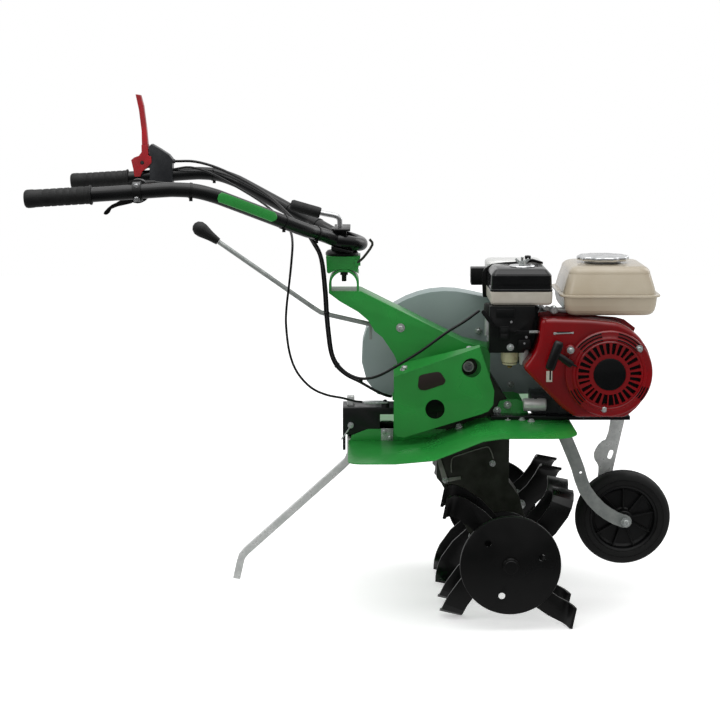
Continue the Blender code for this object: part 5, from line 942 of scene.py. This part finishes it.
def make_cleaner():
    """The air cleaner: white base, polished lid and the washer under its wing nut."""
    z0, z1, z2, z3 = CLEANER_LEVELS
    moulding("air_cleaner_case_finished", "white", CLEANER_X, CLEANER_Y, 0.012,
             [(z0, 0.007), (z0 + 0.002, 0.003), (z0 + 0.006, 0.0006), (z1 - 0.003, 0.0), (z1, 0.0005)])
    moulding("air_cleaner_cover_finished", "lid", CLEANER_X, CLEANER_Y, 0.012,
             [(z2, 0.0004), (z2 + 0.001, -0.0004), (z2 + 0.004, -0.0004), (z2 + 0.005, 0.0008),
              (z2 + 0.012, 0.001), (z2 + 0.0125, 0.0016), (z2 + 0.0145, 0.0016), (z2 + 0.015, 0.0011),
              (z2 + 0.033, 0.002), (z2 + 0.0365, 0.0038), (z3 - 0.002, 0.0105), (z3, 0.014)])
    turning("cleaner_washer", "chrome", spot(0.036, -0.034, z3), (0, 0, 1), 48,
            solid((0, 0.026), (0.0012, 0.0275), (0.003, 0.026), (0.0034, 0.01), (0.0034, 0.003),
                  (0.02, 0.003), (0.0205, 0.0025)))


def make_carburettor():
    """The black body with its pale float bowl, drain screw, fuel fitting and cover screws."""
    dressed("carburettor", "plastic", 1.0)
    turning("bowl_drain", "brass", spot(*BOWL_AT, 0), (0, 0, 1), 6,
            solid((0.3745, 0.004), (0.376, 0.005), (0.381, 0.005)))
    turning("float_bowl", "bowl", spot(*BOWL_AT, 0), (0, 0, 1), 48,
            solid((0.3808, 0.0125), (0.383, 0.016), (0.394, 0.0184), (0.412, 0.0187), (0.4125, 0.0195),
                  (0.4138, 0.0195)))
    turning("fuel_fitting", "shield", spot(0.0385, -0.07, 0), (0, 0, 1), 40,
            solid((0.3825, 0.0072), (0.3845, 0.0088), (0.399, 0.0092), (0.3995, 0.0104), (0.413, 0.0104)))
    front = CARBURETTOR_FACE_Y
    bolts("carburettor_screws", [(0.007, front, 0.4255)], across=0.0085, washer=0.0076, height=0.003)
    bolts("small_screws", [(0.008, front, 0.479), (0.04, front, 0.447), (0.036, front, 0.434)],
          finish="steel", across=0.005, washer=0.0, height=0.0022)
    bm = bmesh.new()
    for outline, rise in ((box_outline((-0.016, 0.003), (0.442, 0.47)), 0.003),
                          (((0.022, 0.422), (0.05, 0.423), (0.048, 0.442), (0.024, 0.441)), 0.0028),
                          (box_outline((-0.023, 0.014), (0.488, 0.506)), 0.002)):
        slab(bm, outline, front + 0.001, front - rise)
    piece("carburettor_covers", bm, "plastic", edge=0.9)
    bm = bmesh.new()
    for z in ((0.444, 0.454), (0.458, 0.466)):
        slab(bm, box_outline((-0.0135, 0.0005), z), front - 0.0029, front - 0.0034)
    piece("carburettor_plates", bm, "hitch", edge=0.15)
    turning("intake_elbow", "aluminium", spot(-0.032, -0.07, 0.444), (0.02, 0.0, 1.0), 40,
            solid((0.0, 0.0115), (0.0015, 0.013), (0.0665, 0.013), (0.068, 0.0115)))
    bolts("elbow_screws", [(-0.0335, -0.084, 0.44)], across=0.0085, washer=0.008, height=0.003)
    turning("elbow_band", "rubber", spot(-0.0335, -0.07, 0.485), (0.1, 0.0, 1.0), 40,
            solid((0.0, 0.0138), (0.0025, 0.015), (0.0245, 0.015), (0.027, 0.0138)))
    bm = bmesh.new()
    slab(bm, [(0.079, 0.5), (0.096, 0.4955), (0.12, 0.499), (0.122, 0.505), (0.1, 0.504), (0.084, 0.508)],
         -0.074, -0.07)
    turned(bm, solid((0.0, 0.0085), (0.014, 0.0085), (0.016, 0.0065)), spot(0.1, -0.068, 0.5), (0, -1, 0), 32)
    turned(bm, solid((0.0, 0.0045), (0.03, 0.0045)), spot(0.104, -0.0715, 0.5), (0.9, 0, -0.1), 20)
    piece("fuel_tap", bm, "zinc")


def make_muffler():
    """The silencer in its pale heat shield, with its strap and a screw."""
    dressed("muffler", "tine", 1.0)
    x, y, z = MUFFLER_X, MUFFLER_Y, MUFFLER_Z
    moulding("heat_shield", "shield", (x[0] - 0.0012, x[1] + 0.0012), (y[0] - 0.0012, y[1] + 0.0008), 0.0165,
             [(z[0] + 0.006, 0.0012), (z[0] + 0.0065, 0.0), (z[1] - 0.006, 0.0), (z[1] - 0.002, 0.0018),
              (z[1] + 0.0006, 0.006)])
    plate("shield_strap", "tine",
          [(-0.0415, 0.5135), (-0.028, 0.512), (-0.027, 0.518), (-0.031, 0.533), (-0.0295, 0.555),
           (-0.0305, 0.564), (-0.023, 0.5755), (0.008, 0.583), (0.027, 0.5835), (0.062, 0.5905),
           (0.08, 0.587), (0.0865, 0.584), (0.087, 0.589), (0.065, 0.5955), (0.026, 0.5895),
           (0.005, 0.5885), (-0.023, 0.585), (-0.0385, 0.575), (-0.043, 0.567), (-0.044, 0.556)],
          0.03, 0.042, edge=0.5)
    turning("shield_screw", "plastic", spot(0.055, 0.041, 0), (0, 0, 1), 28,
            [(0.5935, 0.0), (0.5935, 0.005), (0.5955, 0.0064), (0.6, 0.007), (0.602, 0.006), (0.603, 0.0)])


# Front wheel


def make_wheel():
    """The wheel arm with its hole and axle bolt, and the wheel as tyre, rim and ribs."""
    arm = dressed("wheel_arm", "galvanised", 0.6)
    drilled(arm, spot(0.168, -0.042, 0.142), 0.003, 20)
    bolts("wheel_axle_bolt", [(WHEEL_AT[0], -0.0512, WHEEL_AT[1])], "wheel_arm", across=0.013,
          washer=0.0108, height=0.0042)
    at = spot(WHEEL_AT[0], 0, WHEEL_AT[1])
    half = WHEEL_HALF
    turning("tyre", "tyre", at, (0, 1, 0), 96,
            both_ways((half - 0.006, RIM_R - 0.001), (half - 0.002, RIM_R + 0.0015),
                      (half - 0.0008, RIM_R + 0.005), (half, RIM_R + 0.011), (half - 0.0012, RIM_R + 0.0115),
                      (half - 0.0012, RIM_R + 0.0135), (half - 0.0004, RIM_R + 0.014),
                      (half - 0.002, RIM_R + 0.021), (half - 0.006, RIM_R + 0.0263),
                      (half - 0.012, WHEEL_R - 0.0008), (half - 0.0165, WHEEL_R),
                      (half - 0.017, WHEEL_R - 0.002), (half - 0.0195, WHEEL_R - 0.002),
                      (half - 0.02, WHEEL_R)), "wheel", stands_for=("front_wheel",))
    turning("wheel_rim", "plastic", at, (0, 1, 0), 96,
            both_ways((half + 0.002, 0.0065), (half + 0.002, 0.0165), (half + 0.0005, 0.018),
                      (0.006, 0.0195), (0.0045, 0.022), (0.0045, 0.06), (0.008, RIM_R - 0.008),
                      (half - 0.006, RIM_R - 0.005), (half - 0.004, RIM_R - 0.0005)), "wheel")
    bm = bmesh.new()
    for k in range(WHEEL_RIBS):
        turn = math.tau * k / WHEEL_RIBS + 0.2
        out, aside = Vector((math.cos(turn), math.sin(turn))), Vector((-math.sin(turn), math.cos(turn)))
        corners = [Vector(WHEEL_AT) + out * r + aside * w for r, w in
                   ((0.018, -0.002), (RIM_R - 0.006, -0.0012), (RIM_R - 0.006, 0.0012), (0.018, 0.002))]
        slab(bm, corners, -half + 0.009, half - 0.009)
    piece("wheel_ribs", bm, "plastic", "wheel", 0.4)


# Handlebar and controls


def bar_route():
    """Centre line of the handlebar: right leg, front bend, left leg."""
    leg = [(x, -share * BAR_HALF_Y, z) for x, share, z in BAR_LEG]
    turn = [math.radians(a) for a in range(-90, 91, 12)]
    bend = [(BEND_X + BEND_R * math.cos(a), BEND_R * math.sin(a), BEND_Z - FRONT_DROP * math.cos(a))
            for a in turn]
    return [spot(*p) for p in leg + bend + [(x, -y, z) for x, y, z in reversed(leg)]]


def make_bars():
    """The handlebar with all that it carries, the head that holds it and the gear rod."""
    dressed("head_cup", "green", 0.8)
    dressed("head_dome", "plastic", 1.0)
    route = along(bar_route(), 5)
    tube("handlebar_finished", route, TUBE_R, "black", "handlebar", round_steps=10)
    for side, word in SIDES:
        make_grip(side, word)
        make_strip(route if side < 0 else route[::-1], word, side)
    dressed("throttle_housing", "plastic", 0.8)
    low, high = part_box("throttle_lever")
    plate("throttle_lever_finished", "plastic",
          [(-0.742, 0.746), (-0.752, 0.756), (-0.77, 0.7475), (-0.783, 0.742), (-0.792, 0.7365),
           (-0.801, 0.7325), (-0.8095, 0.7255), (-0.816, 0.7185), (-0.8175, 0.714), (-0.813, 0.7122),
           (-0.809, 0.7135), (-0.805, 0.717), (-0.8015, 0.724), (-0.789, 0.729), (-0.762, 0.735)],
          low.y, high.y, "throttle_lever", edge=0.9)
    # the clutch housing's grey is a painted sheen on black nylon
    dressed("clutch_housing", "black_plastic_painted_sheen", 1.2)
    dressed("clutch_lever", "red_plastic", 1.0)
    dressed("gear_rod", "galvanised", 0.3)
    dressed("gear_knob", "rubber", 0.5, 40)
    lift = BEND_Z + TUBE_R + 0.0078
    bent = [spot(x, 0, lift + rise) for x, rise in
            ((-0.35, 0.0), (-0.35, 0.008), (-0.3505, 0.015), (-0.3545, 0.0205), (-0.362, 0.0235),
             (-0.376, 0.0262), (-0.396, 0.03))]
    tube("clamp_lever_finished", along(bent, 5), 0.0056, "chrome", "clamp_lever", round_steps=8)
    turning("clamp_sleeve", "rubber", spot(-0.3915, 0, lift + 0.0287), (-0.06, 0, 0.017), 40,
            ring((-0.0006, 0.005), (-0.0004, 0.01), (0.0012, 0.0113), (0.004, 0.0119), (0.061, 0.0121),
                 (0.0638, 0.0108), (0.0655, 0.0085), (0.0655, 0.005)), "clamp_lever")
    turning("head_bolt", "casting", spot(-0.341, 0, 0), (0, 0, 1), 12,
            solid((0.5515, 0.0054), (0.5652, 0.0054), (0.5652, 0.0084), (0.5721, 0.0084),
                  (0.5721, 0.0104), (0.5738, 0.0104)), "head")
    hook = [spot(*p) for p in ((-0.312, -0.039, 0.596), (-0.3, -0.048, 0.607), (-0.281, -0.048, 0.634),
                               (-0.287, -0.048, 0.646))]
    tube("latch_hook", along(hook, 3), 0.0027, "casting", "head", round_steps=4)
    make_clamp(route)


def make_grip(side, word):
    """A rubber grip: a thick inner end, seven grooves and a rounded outer end."""
    end, inner = [spot(x, side * BAR_HALF_Y, z) for x, _, z in BAR_LEG[:2]]
    way = (end - inner).normalized()
    reach = GRIP_LENGTH + 0.002
    profile = [(0, TUBE_R), (0, 0.0185), (0.0008, 0.0195), (0.0032, 0.0195), (0.0042, 0.0185),
               (0.005, GRIP_R)]
    for k in range(7):
        t = 0.012 + k * 0.0135
        groove = GRIP_R - 0.0007
        profile += [(t, GRIP_R), (t + 0.0012, groove), (t + 0.0034, groove), (t + 0.0046, GRIP_R)]
    profile += [(reach - 0.02, GRIP_R), (reach - 0.016, 0.0182), (reach - 0.006, 0.0182),
                (reach - 0.002, 0.0168), (reach, 0.014), (reach, 0.0)]
    turning(word + "_grip_finished", "rubber", end - way * (GRIP_LENGTH - 0.001), way, 48, profile,
            "handlebar", angle=40)


def near_point(route, x, side):
    """The place and heading of one leg of the handlebar at a distance along the machine."""
    leg = [p for p in route if p.y * side > 0.02]
    k = min(range(1, len(leg) - 1), key=lambda j: abs(leg[j].x - AXLE.x - x))
    heading = (leg[k + 1] - leg[k - 1]).normalized()
    place = leg[k] + heading * ((AXLE.x + x - leg[k].x) / heading.x)
    return place, heading


def make_strip(route, word, side):
    """The green strip let in along the outside of a leg, its corners round."""
    bm = bmesh.new()
    sections = []
    count = 22
    for k in range(count + 1):
        t = k / count
        place, heading = near_point(route, STRIP_X + STRIP_LENGTH * t, side)
        out = heading.cross(Vector((0, 0, 1))).normalized()
        if out.y * side < 0:
            out = -out
        up = out.cross(heading).normalized()
        if up.z < 0:
            up = -up
        near_end = min(t, 1 - t) * STRIP_SPAN
        corner = STRIP_CORNER
        half = 0.0105 - (corner - math.sqrt(max(0.0, corner ** 2 - max(0.0, corner - near_end) ** 2)))
        sections.append([bm.verts.new(place + out * a + up * b) for a, b in
                         ((0.0098, -half), (0.015, -half + 0.0012), (0.0162, -half + 0.004), (0.0166, 0.0),
                          (0.0162, half - 0.004), (0.015, half - 0.0012), (0.0098, half))])
    bridged(bm, sections)
    piece(word + "_strip", bm, "green", "handlebar")


def make_clamp(route):
    """The black clamp of the throttle with its bolts, and the ties that hold the cables to the tube."""
    place, heading = near_point(route, -0.7435, -1)
    turning("throttle_clamp", "plastic", place, heading, 48,
            ring((-0.008, 0.015), (-0.008, 0.0194), (-0.0074, 0.0198), (0.0074, 0.0198), (0.008, 0.0194),
                 (0.008, 0.015)), "handlebar")
    bm = bmesh.new()
    for rise in (-0.0125, 0.0125):
        seat = place + Vector((0, -0.01, rise))
        cube(bm, seat, (0.013, 0.011, 0.0115))
        bolt(bm, seat + Vector((0, -0.0055, 0)), (0, -1, 0), 0.0085, 0.0026, 0.0, 0.001)
    piece("throttle_clamp_bolts", bm, "chrome", "handlebar", 0.6)
    bm = bmesh.new()
    for x in (-0.64, -0.463, -0.398):
        for side in (-1, 1):
            place, heading = near_point(route, x, side)
            turned(bm, ring((-0.0024, 0.0142), (-0.0024, 0.0156), (0.0024, 0.0156), (0.0024, 0.0142)),
                   place, heading, 36)
            cube(bm, place + Vector((0.001, side * 0.004, -0.0175)), (0.0065, 0.006, 0.0065))
    piece("cable_ties", bm, "plastic", "handlebar")


# Cables


def make_cable(name, points, radius):
    """A control cable in two stretches, split at a point of its route."""
    split = CARRIED_FROM
    whole = [spot(*p) for p in points]
    route = along(whole, 4)
    upper, lower = route[:4 * split + 1], route[4 * split:]
    tops = (("_upper", upper[::-1], "head", "handlebar", whole[split], whole[2]),
            ("_lower", lower[::-1], "machine", "head", whole[-3], whole[split]))
    for word, stretch, low_body, high_body, start, end in tops:
        found = tube(name + word, stretch, radius, "plastic", None, (name,), 4)
        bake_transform(found)


def make_cable_knots():
    """Short ties that hold the throttle and clutch cables together where they hang."""
    for k in (10, 13, 15):
        pair = [spot(*points[k]) for points in (THROTTLE_CABLE, CLUTCH_CABLE)]
        heading = spot(*THROTTLE_CABLE[k + 1]) - pair[0]
        found = turning("cable_knot_%d" % k, "plastic", (pair[0] + pair[1]) / 2, heading, 24,
                        solid((-0.0025, 0.0056), (-0.0018, 0.0064), (0.0018, 0.0064), (0.0025, 0.0056)),
                        None)
        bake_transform(found)


# Studio


def make_studio():
    """Camera, white room, three soft lamps and the paper floor."""
    scene = bpy.context.scene
    scene.view_settings.view_transform = "Standard"
    camera = bpy.data.cameras.new("camera")
    camera.lens = LENS
    camera.sensor_width = SENSOR
    camera.sensor_fit = "HORIZONTAL"
    scene.camera = placed("camera", camera)
    scene.camera.location = spot(*CAMERA_FROM_AXLE)
    scene.camera.rotation_euler = (math.radians(90 - CAMERA_DOWN), 0, 0)
    make_room(scene)
    for name, place, turn, size, power in (("overhead", (0.1, -0.3, 3.0), (6, 0, 0), 2.4, 26),
                                           ("left_front", (-2.6, -1.6, 2.2), (56, 0, -58), 1.2, 7),
                                           ("right_back", (2.4, 1.6, 2.0), (-58, 0, -55), 1.6, 10)):
        lamp = bpy.data.lights.new(name, "AREA")
        lamp.size = size
        lamp.energy = power
        found = placed(name, lamp)
        found.location = place
        found.rotation_euler = [math.radians(a) for a in turn]
    make_floor()


def make_room(scene):
    """A white room: even for plain light, white for the camera, darker behind it for reflections."""
    world = bpy.data.worlds.new("studio")
    scene.world = world
    world.use_nodes = True
    tree = world.node_tree
    tree.nodes.clear()
    path = add(tree, "LightPath")
    seen = maths(tree, "MAXIMUM", path.outputs["Is Camera Ray"], path.outputs["Is Transmission Ray"])
    way = add(tree, "SeparateXYZ", {"Vector": add(tree, "TexCoord").outputs["Generated"]})
    back = ramp(tree, way.outputs["Y"], 0.1, 0.75, -0.2, 0.5)
    top = ramp(tree, way.outputs["Z"], 0.0, 1.0, 0.18, 0.75)
    glossy = ramp(tree, path.outputs["Is Glossy Ray"], FILL, maths(tree, "MAXIMUM", back, top))
    light = add(tree, "Background", {"Color": (1, 1, 1, 1), "Strength": ramp(tree, seen, glossy, 1.0)})
    tree.links.new(light.outputs[0], add(tree, "OutputWorld").inputs["Surface"])


def make_floor():
    """White paper under the machine: it glows for the camera and fades towards it in reflections."""
    bm = bmesh.new()
    bmesh.ops.create_grid(bm, x_segments=1, y_segments=1, size=6.0)
    mesh = bpy.data.meshes.new("floor")
    bm.to_mesh(mesh)
    bm.free()
    floor = placed("floor", mesh)
    floor.location = (0, 0, -0.2 * MM)
    # matt white paper: bare apart from the machine's soft shadow
    material = bpy.data.materials.new("floor_paper")
    material.use_nodes = True
    tree = material.node_tree
    tree.nodes.clear()
    path = add(tree, "LightPath")
    paper = add(tree, "BsdfDiffuse", {"Color": srgb("F4F4F4")})
    glow = add(tree, "Emission", {"Color": (1, 1, 1, 1), "Strength": 0.4})
    bright = add(tree, "AddShader", {0: paper.outputs[0], 1: glow.outputs[0]})
    way = add(tree, "SeparateXYZ", {"Vector": add(tree, "TexCoord").outputs["Object"]})
    fade = ramp(tree, way.outputs["Y"], 0.05, 0.5, -0.9, 0.5)
    mirrored = add(tree, "Emission", {"Color": (1, 1, 1, 1), "Strength": fade})
    shown = add(tree, "MixShader", {0: path.outputs["Is Camera Ray"], 1: paper.outputs[0],
                                    2: bright.outputs[0]})
    mix = add(tree, "MixShader", {0: path.outputs["Is Glossy Ray"], 1: shown.outputs[0],
                                  2: mirrored.outputs[0]})
    tree.links.new(mix.outputs[0], add(tree, "OutputMaterial").inputs["Surface"])
    mesh.materials.append(material)


make_studio()
make_cable("throttle_cable", THROTTLE_CABLE, CABLE_R)
make_cable("clutch_cable", CLUTCH_CABLE, CABLE_R)
make_cable("reverse_cable", REVERSE_CABLE, THIN_CABLE_R)
make_cable_knots()
make_rotor()
make_frame()
make_engine()
make_wheel()
make_bars()
